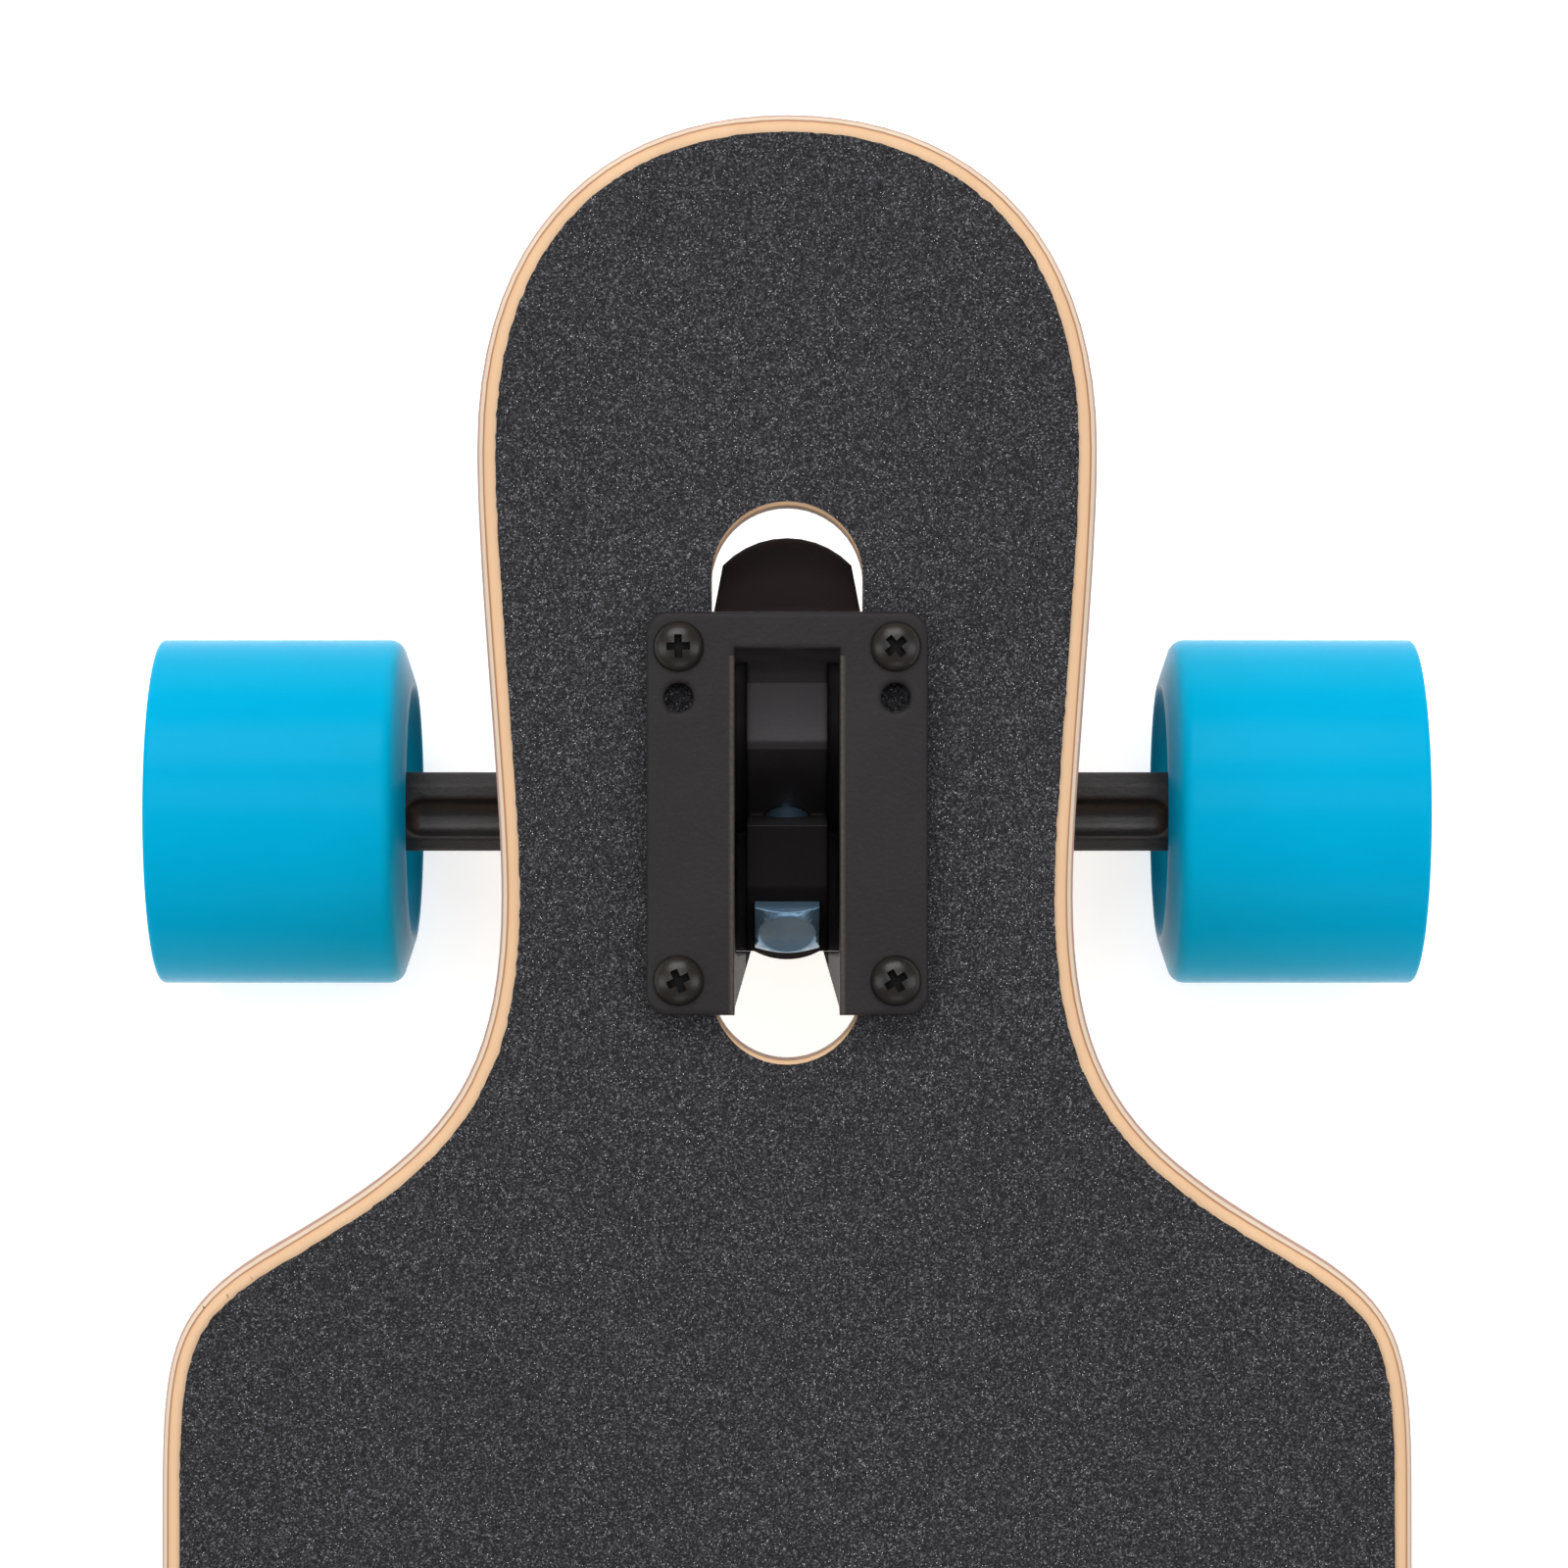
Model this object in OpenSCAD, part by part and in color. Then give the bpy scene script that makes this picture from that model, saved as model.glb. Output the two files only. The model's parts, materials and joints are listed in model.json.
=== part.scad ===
// Electric longboard: plywood deck, drop-through trucks and a dual belt drive on the rear truck.
// X runs across the deck, Y along it with the nose at +Y, and Z up from the floor.
// The origin is on the floor under the middle of the deck.

/* [Deck] */
// Length from nose tip to tail tip
deck_len = 1041; // [1000:1:1080]
// Width across the middle
deck_w = 238.6; // [230:0.1:246]
// Greatest width of the nose and of the tail
nose_w = 119; // [116:0.5:121]
// Narrowest width, beside the wheels
neck_w = 109.6; // [108:0.1:113]
// Thickness of the plywood
deck_t = 11; // [10:0.5:12]
// Height of the deck's flat middle above the floor
deck_top = 102; // [101:0.5:104]
// Rise of the two edges across the middle
concave_rise = 5; // [3:0.5:6]
// Half width of the flat middle, between the rising edges
flat_half = 84; // [82:1:90]
// Thickness of the grip tape
grip_t = 0.8; // [0.6:0.1:1]
// Bare plywood left around the grip tape
grip_margin = 3.5; // [3:0.5:5]
// Width of the cutout that each truck drops through
cutout_w = 29; // [29:0.1:31]
// Length of that cutout
cutout_len = 107.8; // [106:0.1:112]
// Distance of the cutout's centre outboard of the axle
cutout_shift = 5.8; // [5:0.1:7]

/* [Trucks] */
// Distance between the two axles
wheelbase = 773; // [750:1:780]
// Width of the hanger, between the inner speed washers
hanger_w = 180; // [180:1:182]
// Radius of the axle rod
axle_r = 4; // [4:0.1:4]
// Length of the axle rod
axle_len = 248; // [247:1:250]
// Angle of the steering axis above the deck
steer_angle = 50; // [49:1:51]
// Width of the baseplate's flange
plate_w = 53.5; // [53:0.5:55]
// Length of the baseplate's flange
plate_len = 76.8; // [76:0.1:78]
// Thickness of the baseplate's flange
plate_t = 5.4; // [5:0.1:6]
// Spacing of the mounting bolts across the board
bolt_dx = 41.3; // [41.3:0.1:41.3]
// Spacing of the mounting bolts along the board
bolt_dy = 63.5; // [63.5:0.1:63.5]
// Spacing of the second, shorter hole pattern along the board
bolt_dy_short = 53.8; // [53:0.1:54]

/* [Wheels] */
// Diameter of the wheels
wheel_d = 70; // [69:0.5:70]
// Width of the wheels
wheel_w = 52; // [51:0.5:52]
// Distance of a wheel's inner face from the middle of the truck
wheel_x = 76; // [76:0.1:76.5]

/* [Drive] */
// Teeth on each wheel pulley
wheel_teeth = 36; // [34:1:36]
// Teeth on each motor pulley
motor_teeth = 15; // [14:1:16]
// Pitch of the belt teeth
belt_pitch = 5; // [5:0.1:5]
// Width of each belt
belt_w = 12; // [10:1:12]
// Distance between the pulleys' centres
belt_centres = 66.7; // [66:0.1:68]
// Angle by which each motor sits above the level of the axle
motor_lift = 8; // [6:1:9]
// Radius of each motor
motor_r = 25; // [24:0.5:25]

/* [Enclosure] */
// Width of the enclosure
box_w = 164; // [150:1:164]
// Length of the enclosure
box_len = 440; // [400:1:450]
// Depth of the enclosure below the deck
box_h = 36; // [34:1:38]
// Thickness of its walls
box_wall = 3; // [2.5:0.5:3]

/* [Hidden] */

$fn = 64;
eps = 0.01;
round_fn = 32;   // roundness of shapes that go into a hull
curve_steps = 20; // points along each curve of the deck's outline

// Axle, kingpin and steering axis, as [outboard of the axle, height above the floor].
axle_z = wheel_d / 2;
king_drop = 90 - steer_angle;
king_dir = [cos(king_drop), -sin(king_drop)];
steer_dir = [sin(king_drop), cos(king_drop)];
king_start = [-17.4, deck_top - 9.6];
seat_t = 28;         // where the bushing seat lies, along the kingpin from its head
washer_t = 1.5;
board_bushing_h = 13.5;
ring_h = 8;
road_bushing_h = 13.5;
kingpin_len = 77;
kingpin_r = 4.76;
head_w = 12.4;
head_h = 8;
bushing_r = 12.5;
ring_r = 16;
ring_bore_r = 8;
ring_t = seat_t + washer_t + board_bushing_h + ring_h / 2;
nut_t = ring_t + ring_h / 2 + road_bushing_h + washer_t;
pivot_reach = 51;    // from the ring's centre down the steering axis to the pivot
steer_centre = king_start + ring_t * king_dir;
pivot_end = steer_centre - pivot_reach * steer_dir;
pivot_r = 6.5;
pivot_gap = 0.05;
cup_r = 8.6;
housing_r = 11.5;

// Heights of the stack through the deck.
deck_bottom = deck_top - deck_t;
plate_z = deck_top + grip_t;
plate_top = plate_z + plate_t;
slot_w = 20;
body_w = 28.3;
fin_w = 16;
bolt_hole_r = 2.75;
bolt_r = 2.4;
bolt_head_r = 4.9;
bolt_head_h = 2.8;
bolt_len = 25;

// Hanger arm.
arm_w = 16;
arm_h = 15;
arm_bevel = 2.5;
collar_r = 8.75;
collar_len = 6;

// Wheel, along X from the wheel's inner face.
core_in = 12;
core_len = 30;
core_r = 22;
bearing_r = 11;
bearing_w = 7;
bearing_in = (hanger_w / 2 + 1) - wheel_x;
bearing_gap = 10;
side_gap = 0.1;
running_gap = 0.04;
fit_gap = 0.02;
inner_lip_r = 5.5;
outer_lip_r = 1.5;

// Belt drive. All its X positions are distances from the middle of the truck.
wheel_pitch_r = wheel_teeth * belt_pitch / PI / 2;
motor_pitch_r = motor_teeth * belt_pitch / PI / 2;
pitch_drop = 0.57;    // from the belt's pitch line down to the tips of the pulley teeth
belt_gap = 0.3;
belt_back = 1.7;
flange_over = 3;
flange_t = 1.2;
pulley_x = 59.5;
pulley_w = 16.1;
belt_x = pulley_x + (pulley_w - belt_w) / 2;
pulley_bore_r = 13.5;
motor_u = -belt_centres * cos(motor_lift);
motor_z = axle_z + belt_centres * sin(motor_lift);
mount_x = 50;
mount_t = 6;
clamp_w = 12;
shaft_r = 4;
motor_in_x = 4;
stator_r = 19;
magnet_r = 21.4;
motor_screw_r = 1.5;
motor_screw_ring = 15;

// Enclosure.
gasket_t = 1.5;
rim_w = 9;
rim_t = 3;
rim_z = deck_bottom - gasket_t - rim_t;
box_z = deck_bottom - box_h;
box_r = 14;
box_screw_r = 1.9;
box_side_x = box_w / 2 - rim_w;
port_z = box_z + 16;
socket_y = -150;
button_y = -185;
socket_r = 6;
button_r = 7;
button_cap_r = 5.5;
button_out = 3.6;
gland_x = 34;
gland_z = box_z + 20;

// Sleeved phase leads, from the motors forward to the enclosure, with slack for steering.
lead_r = 3.5;
lead_points = [[48, -292, 44], [48, -284, 44], [45.5, -272, 46.5], [41, -262, 54], [37, -252, 64],
    [35, -242, 71], [34, -232, 75], [34, -213, 75]];

// ---- Helpers ----

function bezier(p, t) = pow(1 - t, 3) * p[0] + 3 * pow(1 - t, 2) * t * p[1]
    + 3 * (1 - t) * t * t * p[2] + t * t * t * p[3];
function curve(p) = [for (i = [0 : curve_steps - 1]) bezier(p, i / curve_steps)];
function arc(c, r, a0, a1, n = 6) =
    [for (i = [0 : n]) c + r * [cos(a0 + (a1 - a0) * i / n), sin(a0 + (a1 - a0) * i / n)]];
function reversed(p) = [for (i = [len(p) - 1 : -1 : 0]) p[i]];

// A point placed by its distance along the steering axis and its distance towards the deck from it.
function on_steer(s, p) = pivot_end + s * steer_dir - p * king_dir;

// One quarter of the deck's outline, from the nose tip to the straight side.
tip_u = (deck_len - wheelbase) / 2;
flare_point = [98, -82.6];
flare_dir = [sin(60), -cos(60)];
quarter_outline = concat(
    curve([[0, tip_u], [33, tip_u], [nose_w / 2, tip_u - 20], [nose_w / 2, 70]]),
    curve([[nose_w / 2, 70], [nose_w / 2, 45], [neck_w / 2, 5], [neck_w / 2, -16]]),
    curve([[neck_w / 2, -16], [neck_w / 2, -53.5], flare_point - 35 * flare_dir, flare_point]),
    curve([flare_point, flare_point + 25 * flare_dir, [deck_w / 2, -102.5], [deck_w / 2, -140]]),
    [[deck_w / 2, -140]]);

module deck_outline() {
    front_right = [for (p = quarter_outline) [p[0], p[1] + wheelbase / 2]];
    rear_right = [for (p = reversed(front_right)) [p[0], -p[1]]];
    right = concat(front_right, rear_right);
    left = [for (p = reversed(right)) if (p[0] > 0) [-p[0], p[1]]];
    polygon(concat(right, left));
}

// Height of the curved deck above its flat middle, at a distance x from the centre line.
function rise(x) = abs(x) <= flat_half ? 0
    : concave_rise * (1 - cos(90 * (abs(x) - flat_half) / (deck_w / 2 - flat_half)));

// A slab that follows the deck's cross-section, from z0 to z1 at the flat middle.
module curved_slab(z0, z1) {
    wing = [for (i = [0 : 8]) flat_half + (deck_w / 2 + 1 - flat_half) * i / 8];
    xs = concat(-reversed(wing), wing);
    rotate([90, 0, 0])
        linear_extrude(deck_len + 2, center = true)
            polygon(concat([for (x = xs) [x, z1 + rise(x)]], [for (x = reversed(xs)) [x, z0 + rise(x)]]));
}

module slot_outline(length, width) {
    hull()
        for (s = [-1, 1])
            translate([0, s * (length - width) / 2]) circle(d = width, $fn = 48);
}

module rounded_rect(w, l, r) {
    offset(r = r, $fn = round_fn) square([w - 2 * r, l - 2 * r], center = true);
}

// Children are drawn in a truck's own frame: X across, Y outboard of the axle, Z above the floor.
module at_truck(front) {
    mirror([0, front ? 0 : 1, 0]) translate([0, wheelbase / 2, 0]) children();
}

// Children are drawn in each cutout's frame, at both ends of the board.
module both_trucks() {
    at_truck(true) children();
    at_truck(false) children();
}

// A polygon of [outboard, height] points, drawn as a slab of width w across the truck.
module side_slab(w, points) {
    rotate([90, 0, 90]) linear_extrude(w, center = true) polygon(points);
}

// +Z runs down the kingpin from its head.
module along_kingpin(t) {
    p = king_start + t * king_dir;
    translate([0, p[0], p[1]]) rotate([-90 - king_drop, 0, 0]) children();
}

// +Z runs up the steering axis from the pivot.
module along_steer(s) {
    p = pivot_end + s * steer_dir;
    translate([0, p[0], p[1]]) rotate([-king_drop, 0, 0]) children();
}

// +Z runs outward along the axle on the side given by sign, from a distance x off the middle.
module on_axle(sign, x, u = 0, z = axle_z) {
    mirror([sign > 0 ? 0 : 1, 0, 0]) translate([x, u, z]) rotate([90, 0, 90]) children();
}

module tube(r, r_in, h) {
    difference() {
        cylinder(r = r, h = h);
        translate([0, 0, -1]) cylinder(r = r_in, h = h + 2);
    }
}

module bolt_places(dy) {
    for (x = [-1, 1], y = [-1, 1])
        translate([x * bolt_dx / 2, y * dy / 2, 0]) children();
}

// ---- Deck ----

module cutouts() {
    both_trucks()
        translate([0, cutout_shift, deck_bottom - 5])
            linear_extrude(deck_t + 20) slot_outline(cutout_len, cutout_w);
    both_trucks()
        bolt_places(bolt_dy) translate([0, 0, deck_bottom - 5]) cylinder(r = bolt_hole_r, h = deck_t + 20);
}

module deck() {
    color("burlywood")
        difference() {
            intersection() {
                translate([0, 0, deck_bottom - 5]) linear_extrude(deck_t + 20) deck_outline();
                curved_slab(deck_bottom, deck_top);
            }
            cutouts();
        }
}

module grip_tape() {
    color([0.2, 0.2, 0.22])
        difference() {
            intersection() {
                translate([0, 0, deck_bottom])
                    linear_extrude(deck_t + 20) offset(delta = -grip_margin) deck_outline();
                curved_slab(deck_top, deck_top + grip_t);
            }
            cutouts();
        }
}

// ---- Trucks ----

body_profile = [[37, plate_z + 1], [37, deck_bottom], [18, deck_bottom],
    on_steer(64.5, 19), on_steer(37, 19), [-14, 68], [-26.5, 84], [-33, 98], [-33, plate_z + 1]];

fin_profile = [on_steer(36, 12.5), on_steer(36, 18.9), [-4, 84], [-26.5, 88], [-26.5, 46],
    on_steer(-2, 17), on_steer(-11, 9), on_steer(-11, 2), on_steer(1.4, 2), on_steer(1.4, 12.5)];

// The air inside the slot: end wall, flat block, slope, and the rough boss that holds the kingpin.
slot_profile = [[32.2, plate_top + 1], [31.9, plate_top], [26.2, 98], [13.8, 98], [-0.5, 81], [-2.4, 99],
    [-14, 102], [-16.5, 100.5], [-26.8, 88.3], [-27, 55], [-45, 55], [-45, plate_top + 1]];

// Cheeks that carry the slot's walls down through the deck, with webs that slope in towards the kingpin.
cheek_w = 24;
cheek_profile = [[-28, plate_z + 1], [-28, 84], [-33, 87], [-37, 93], [-plate_len / 2, plate_z + 1]];
web_points = [[10.2, -26.8, 102], [7, -26.8, 89], [10.2, -26.8, 89], [10.2, -38, 95]];
web_faces = [[0, 1, 2], [1, 0, 3], [2, 1, 3], [0, 2, 3]];

// Narrow channels that separate the block and the boss from the slot's side walls.
boss_w = 15.4;
channel_profile = [[29.5, plate_top + 1], [28.5, 97], [22, 95], [15, 94], [-4, 72.5], [-18, 80.5], [-30, 92],
    [-45, 92], [-45, plate_top + 1]];

tongue_profile = [[30, plate_z], [37, plate_z], [40, 98], [54, 88], [54, 83], [38, 92], [30, 92]];

module tongue_outline() {
    square_end = 47.8;
    tip_r = 16.8;
    tip_centre = 53.3 - tip_r;
    tip_angle = asin((square_end - tip_centre) / tip_r);
    polygon(concat([[body_w / 2, 30], [body_w / 2, 38]],
        arc([0, tip_centre], tip_r, tip_angle, 180 - tip_angle, 10), [[-body_w / 2, 38], [-body_w / 2, 30]]));
}

module baseplate() {
    pocket_w = head_w + 2 * fit_gap;
    color([0.2, 0.19, 0.19]) {
        for (m = [0, 1]) mirror([m, 0, 0]) polyhedron(web_points, web_faces);
        difference() {
            union() {
                translate([0, 0, plate_z]) linear_extrude(plate_t) rounded_rect(plate_w, plate_len, 4);
                side_slab(body_w, body_profile);
                side_slab(cheek_w, cheek_profile);
                intersection() {
                    translate([0, 0, deck_bottom - 10]) linear_extrude(deck_t + 10) tongue_outline();
                    side_slab(body_w, tongue_profile);
                }
                side_slab(fin_w, fin_profile);
                along_steer(-12) cylinder(r = housing_r, h = 13.4);
            }
            side_slab(slot_w, slot_profile);
            for (s = [-1, 1])
                translate([s * (slot_w + boss_w) / 4, 0, 0])
                    side_slab((slot_w - boss_w) / 2, channel_profile);
            along_kingpin(-1) cylinder(r = kingpin_r + fit_gap, h = seat_t + 2);
            along_kingpin(-20)
                translate([-pocket_w / 2, -pocket_w / 2, 0]) cube([pocket_w, pocket_w, 20]);
            along_steer(-9.5) cylinder(r = cup_r, h = 20);
            bolt_places(bolt_dy) translate([0, 0, plate_z - 1]) cylinder(r = bolt_hole_r, h = plate_t + 2);
            for (x = [-1, 1])
                translate([x * bolt_dx / 2, bolt_dy_short - bolt_dy / 2, plate_z - 1])
                    cylinder(r = bolt_hole_r, h = plate_t + 2);
        }
    }
}

// Square-headed bolt with its corners turned to a cone.
module kingpin() {
    color([0.7, 0.73, 0.78]) {
        along_kingpin(-head_h)
            intersection() {
                translate([-head_w / 2, -head_w / 2, 0]) cube([head_w, head_w, head_h]);
                cylinder(r1 = 4.9, r2 = 4.9 + 2 * head_h, h = head_h);
            }
        along_kingpin(0) cylinder(r = kingpin_r, h = kingpin_len);
    }
}

module kingpin_nut() {
    color([0.75, 0.76, 0.78])
        along_kingpin(nut_t)
            difference() {
                union() {
                    cylinder(r = 8.2, h = 6, $fn = 6);
                    translate([0, 0, 6 - eps]) cylinder(r = 6.6, h = 2.4);
                }
                translate([0, 0, -1]) cylinder(r = kingpin_r, h = 12);
            }
}

module cup_washer_pair() {
    color([0.78, 0.78, 0.8])
        for (t = [seat_t, nut_t - washer_t])
            along_kingpin(t) tube(13.2, kingpin_r, washer_t);
}

module board_bushing() {
    color([0.12, 0.45, 0.75])
        along_kingpin(seat_t + washer_t) tube(bushing_r, kingpin_r, board_bushing_h - fit_gap);
}

module road_bushing() {
    color([0.12, 0.45, 0.75])
        along_kingpin(ring_t + ring_h / 2 + fit_gap)
            difference() {
                cylinder(r1 = bushing_r, r2 = 10.5, h = road_bushing_h - fit_gap);
                translate([0, 0, -1]) cylinder(r = kingpin_r, h = road_bushing_h + 2);
            }
}

// Profile of the pivot nose, as [radius, distance up the steering axis].
function nose_profile(grow, top) = [[0, -7 - grow], [4 + grow, -7 - grow], [pivot_r + grow, -4.5 - grow],
    [pivot_r + grow, top], [0, top]];

module pivot_cup() {
    color([0.15, 0.15, 0.16])
        difference() {
            union() {
                along_steer(-9.5) cylinder(r = cup_r, h = 12);
                along_steer(1.4) cylinder(r = 10, h = 1.6);
            }
            along_steer(0) rotate_extrude() polygon(nose_profile(pivot_gap, 20));
        }
}

module arm_outline() {
    polygon([for (a = [[1, 1], [-1, 1], [-1, -1], [1, -1]]) each
        (a[0] * a[1] > 0)
        ? [[a[0] * arm_w / 2, axle_z + a[1] * (arm_h / 2 - arm_bevel)],
           [a[0] * (arm_w / 2 - arm_bevel), axle_z + a[1] * arm_h / 2]]
        : [[a[0] * (arm_w / 2 - arm_bevel), axle_z + a[1] * arm_h / 2],
           [a[0] * arm_w / 2, axle_z + a[1] * (arm_h / 2 - arm_bevel)]]]);
}

module arm_bar(length) {
    rotate([90, 0, 90]) linear_extrude(length, center = true) arm_outline();
}

// Where the hanger's body meets its ring, and the post that carries the pivot nose.
ring_foot = [on_steer(40, 3.9), on_steer(40, -3.9), on_steer(36, -3.9), on_steer(36, 3.9)];
pivot_post = [on_steer(30, 4), on_steer(30, -12), on_steer(9, -10), on_steer(9, 7)];

module hanger() {
    arm_len = hanger_w - 2 * collar_len;
    groove_r = 4.2;
    groove_in = 26;
    groove_out = 74;
    groove_z = axle_z + arm_h / 2 + 1.6;
    color([0.17, 0.17, 0.18])
        difference() {
            union() {
                along_kingpin(ring_t - ring_h / 2) cylinder(r = ring_r, h = ring_h);
                arm_bar(arm_len);
                for (s = [-1, 1])
                    on_axle(s, hanger_w / 2 - collar_len - 1) cylinder(r = collar_r, h = collar_len + 1);
                hull() {
                    arm_bar(72);
                    side_slab(26, ring_foot);
                }
                side_slab(22, pivot_post);
                along_steer(0) rotate_extrude() polygon(nose_profile(0, 14));
            }
            along_kingpin(0) cylinder(r = ring_bore_r, h = kingpin_len);
            along_kingpin(ring_t + ring_h / 2) cylinder(r = bushing_r + 0.5, h = road_bushing_h);
            for (s = [-1, 1])
                on_axle(s, groove_in, -1.2, groove_z)
                    rotate_extrude()
                        polygon(concat([[0, 0], [groove_r, 0]],
                            arc([0, groove_out - groove_in], groove_r, 0, 90, 5)));
            on_axle(1, -hanger_w) cylinder(r = axle_r, h = 2 * hanger_w);
        }
}

module axle() {
    color([0.75, 0.75, 0.77]) on_axle(1, -axle_len / 2) cylinder(r = axle_r, h = axle_len);
}

bearing_end = wheel_x + bearing_in + 2 * bearing_w + bearing_gap;

module axle_nuts() {
    color([0.78, 0.78, 0.8])
        for (s = [-1, 1])
            on_axle(s, bearing_end + 1)
                difference() {
                    cylinder(r = 7.3, h = 6, $fn = 6);
                    translate([0, 0, -1]) cylinder(r = axle_r, h = 8);
                }
}

module axle_spacers() {
    color([0.8, 0.8, 0.82])
        for (s = [-1, 1]) {
            on_axle(s, hanger_w / 2) tube(5.6, axle_r, 1 - side_gap);
            on_axle(s, wheel_x + bearing_in + bearing_w + side_gap)
                tube(5.2, axle_r, bearing_gap - 2 * side_gap);
            on_axle(s, bearing_end + side_gap) tube(5.6, axle_r, 1 - side_gap);
        }
}

module truck_bolts() {
    color([0.16, 0.16, 0.16])
        both_trucks()
            bolt_places(bolt_dy) {
                translate([0, 0, plate_top - bolt_len]) cylinder(r = bolt_r, h = bolt_len + eps);
                translate([0, 0, plate_top])
                    difference() {
                        cylinder(r1 = bolt_head_r, r2 = bolt_head_r - 1.7, h = bolt_head_h);
                        for (a = [0, 90])
                            rotate(a) translate([-2.6, -0.5, 1]) cube([5.2, 1, bolt_head_h]);
                    }
            }
}

module truck_nuts() {
    color([0.3, 0.3, 0.31])
        both_trucks()
            bolt_places(bolt_dy)
                translate([0, 0, deck_bottom - 5])
                    difference() {
                        cylinder(r = 4.6, h = 5, $fn = 6);
                        translate([0, 0, -1]) cylinder(r = bolt_r, h = 7);
                    }
}

// ---- Wheels ----

wheel_r = wheel_d / 2;
wheel_profile = concat(
    [[core_r, core_in], [24.5, 1.2], [25.7, 0]],
    arc([wheel_r - inner_lip_r, inner_lip_r], inner_lip_r, -90, 0),
    arc([wheel_r - outer_lip_r, wheel_w - outer_lip_r], outer_lip_r, 0, 90, 3),
    [[24.5, wheel_w], [23.2, wheel_w - 1.5], [core_r, core_in + core_len]]);

module wheel(sign) {
    color([0, 0.62, 0.85]) on_axle(sign, wheel_x) rotate_extrude($fn = 96) polygon(wheel_profile);
}

core_bore_r = bearing_r + fit_gap;
core_profile = [[core_bore_r, core_in], [core_r, core_in], [core_r, core_in + core_len],
    [core_bore_r, core_in + core_len], [core_bore_r, bearing_in + bearing_w + bearing_gap],
    [9.5, bearing_in + bearing_w + bearing_gap], [9.5, bearing_in + bearing_w],
    [core_bore_r, bearing_in + bearing_w]];

module core(sign) {
    color([0.9, 0.9, 0.9]) on_axle(sign, wheel_x) rotate_extrude() polygon(core_profile);
}

// Half of a bearing's section, from one face to its middle: rings at both rims and a shield set in between.
bearing_face = [[axle_r + running_gap, 0], [5.8, 0], [5.8, 0.5], [9.4, 0.5], [9.4, 0], [bearing_r, 0]];

module bearings(sign) {
    far_face = [for (p = reversed(bearing_face)) [p[0], bearing_w - p[1]]];
    color([0.8, 0.8, 0.82])
        for (x = [bearing_in, bearing_in + bearing_w + bearing_gap])
            on_axle(sign, wheel_x + x) rotate_extrude() polygon(concat(bearing_face, far_face));
}

// ---- Drive ----

// A toothed outline, with a tooth centred on angle zero.
module pulley_teeth(teeth, tip_r) {
    depth = 2;
    step = 360 / teeth;
    polygon([for (i = [0 : teeth - 1], k = [[-0.3, 0], [0.3, 0], [0.22, 1], [-0.22, 1]])
        let (turn = (i + (k[1] == 0 ? k[0] : 0.5 - k[0])) * step, r = tip_r - depth * k[1])
        r * [cos(turn), sin(turn)]]);
}

module pulley_body(teeth, pitch_r) {
    tip_r = pitch_r - pitch_drop;
    translate([0, 0, flange_t - eps])
        linear_extrude(pulley_w - 2 * flange_t + 2 * eps) pulley_teeth(teeth, tip_r);
    for (z = [0, pulley_w - flange_t])
        translate([0, 0, z]) cylinder(r = tip_r + flange_over, h = flange_t);
}

module wheel_pulley(sign) {
    hub_len = wheel_x + core_in - pulley_x;
    color([0.75, 0.75, 0.77])
        on_axle(sign, pulley_x)
            difference() {
                union() {
                    pulley_body(wheel_teeth, wheel_pitch_r);
                    cylinder(r = 19.5, h = hub_len);
                }
                translate([0, 0, -1]) cylinder(r = pulley_bore_r, h = hub_len + 2);
            }
}

module motor_pulley(sign) {
    color([0.6, 0.6, 0.62])
        on_axle(sign, pulley_x, motor_u, motor_z)
            difference() {
                pulley_body(motor_teeth, motor_pitch_r);
                translate([0, 0, -1]) cylinder(r = shaft_r, h = pulley_w + 2);
            }
}

// Loop around both pulleys, grown from the tips of their teeth.
module belt_loop(grow) {
    hull() {
        translate([0, axle_z]) circle(r = wheel_pitch_r - pitch_drop + grow, $fn = 72);
        translate([motor_u, motor_z]) circle(r = motor_pitch_r - pitch_drop + grow, $fn = 36);
    }
}

module belt(sign) {
    color([0.1, 0.1, 0.1])
        mirror([sign > 0 ? 0 : 1, 0, 0])
            translate([belt_x, 0, 0])
                rotate([90, 0, 90])
                    linear_extrude(belt_w)
                        difference() {
                            belt_loop(belt_gap + belt_back);
                            belt_loop(belt_gap);
                        }
}

module motor_screw_places() {
    for (a = [45 : 90 : 315])
        rotate(a) translate([motor_screw_ring, 0, 0]) children();
}

module motor_mount(sign) {
    window_r = 9.5;
    color([0.22, 0.22, 0.24])
        mirror([sign > 0 ? 0 : 1, 0, 0])
            difference() {
                union() {
                    translate([mount_x, 0, 0])
                        rotate([90, 0, 90])
                            linear_extrude(mount_t)
                                hull() {
                                    translate([0, axle_z]) circle(r = 14, $fn = 48);
                                    translate([motor_u, motor_z]) circle(r = motor_r - 1, $fn = 48);
                                }
                    translate([mount_x + mount_t - clamp_w, -13, axle_z - 13]) cube([clamp_w, 28, 26]);
                }
                translate([mount_x - 20, 0, 0]) rotate([90, 0, 90]) linear_extrude(40) arm_outline();
                translate([mount_x - 20, 7, axle_z - 1]) cube([40, 10, 2]);
                translate([mount_x - 20, -33, axle_z + 4]) rotate([0, 90, 0]) cylinder(r = 5, h = 40);
                translate([mount_x - 1, motor_u, motor_z])
                    rotate([90, 0, 90]) {
                        cylinder(r = window_r, h = mount_t + 2);
                        motor_screw_places() cylinder(r = motor_screw_r, h = mount_t + 2);
                    }
            }
}

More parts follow.
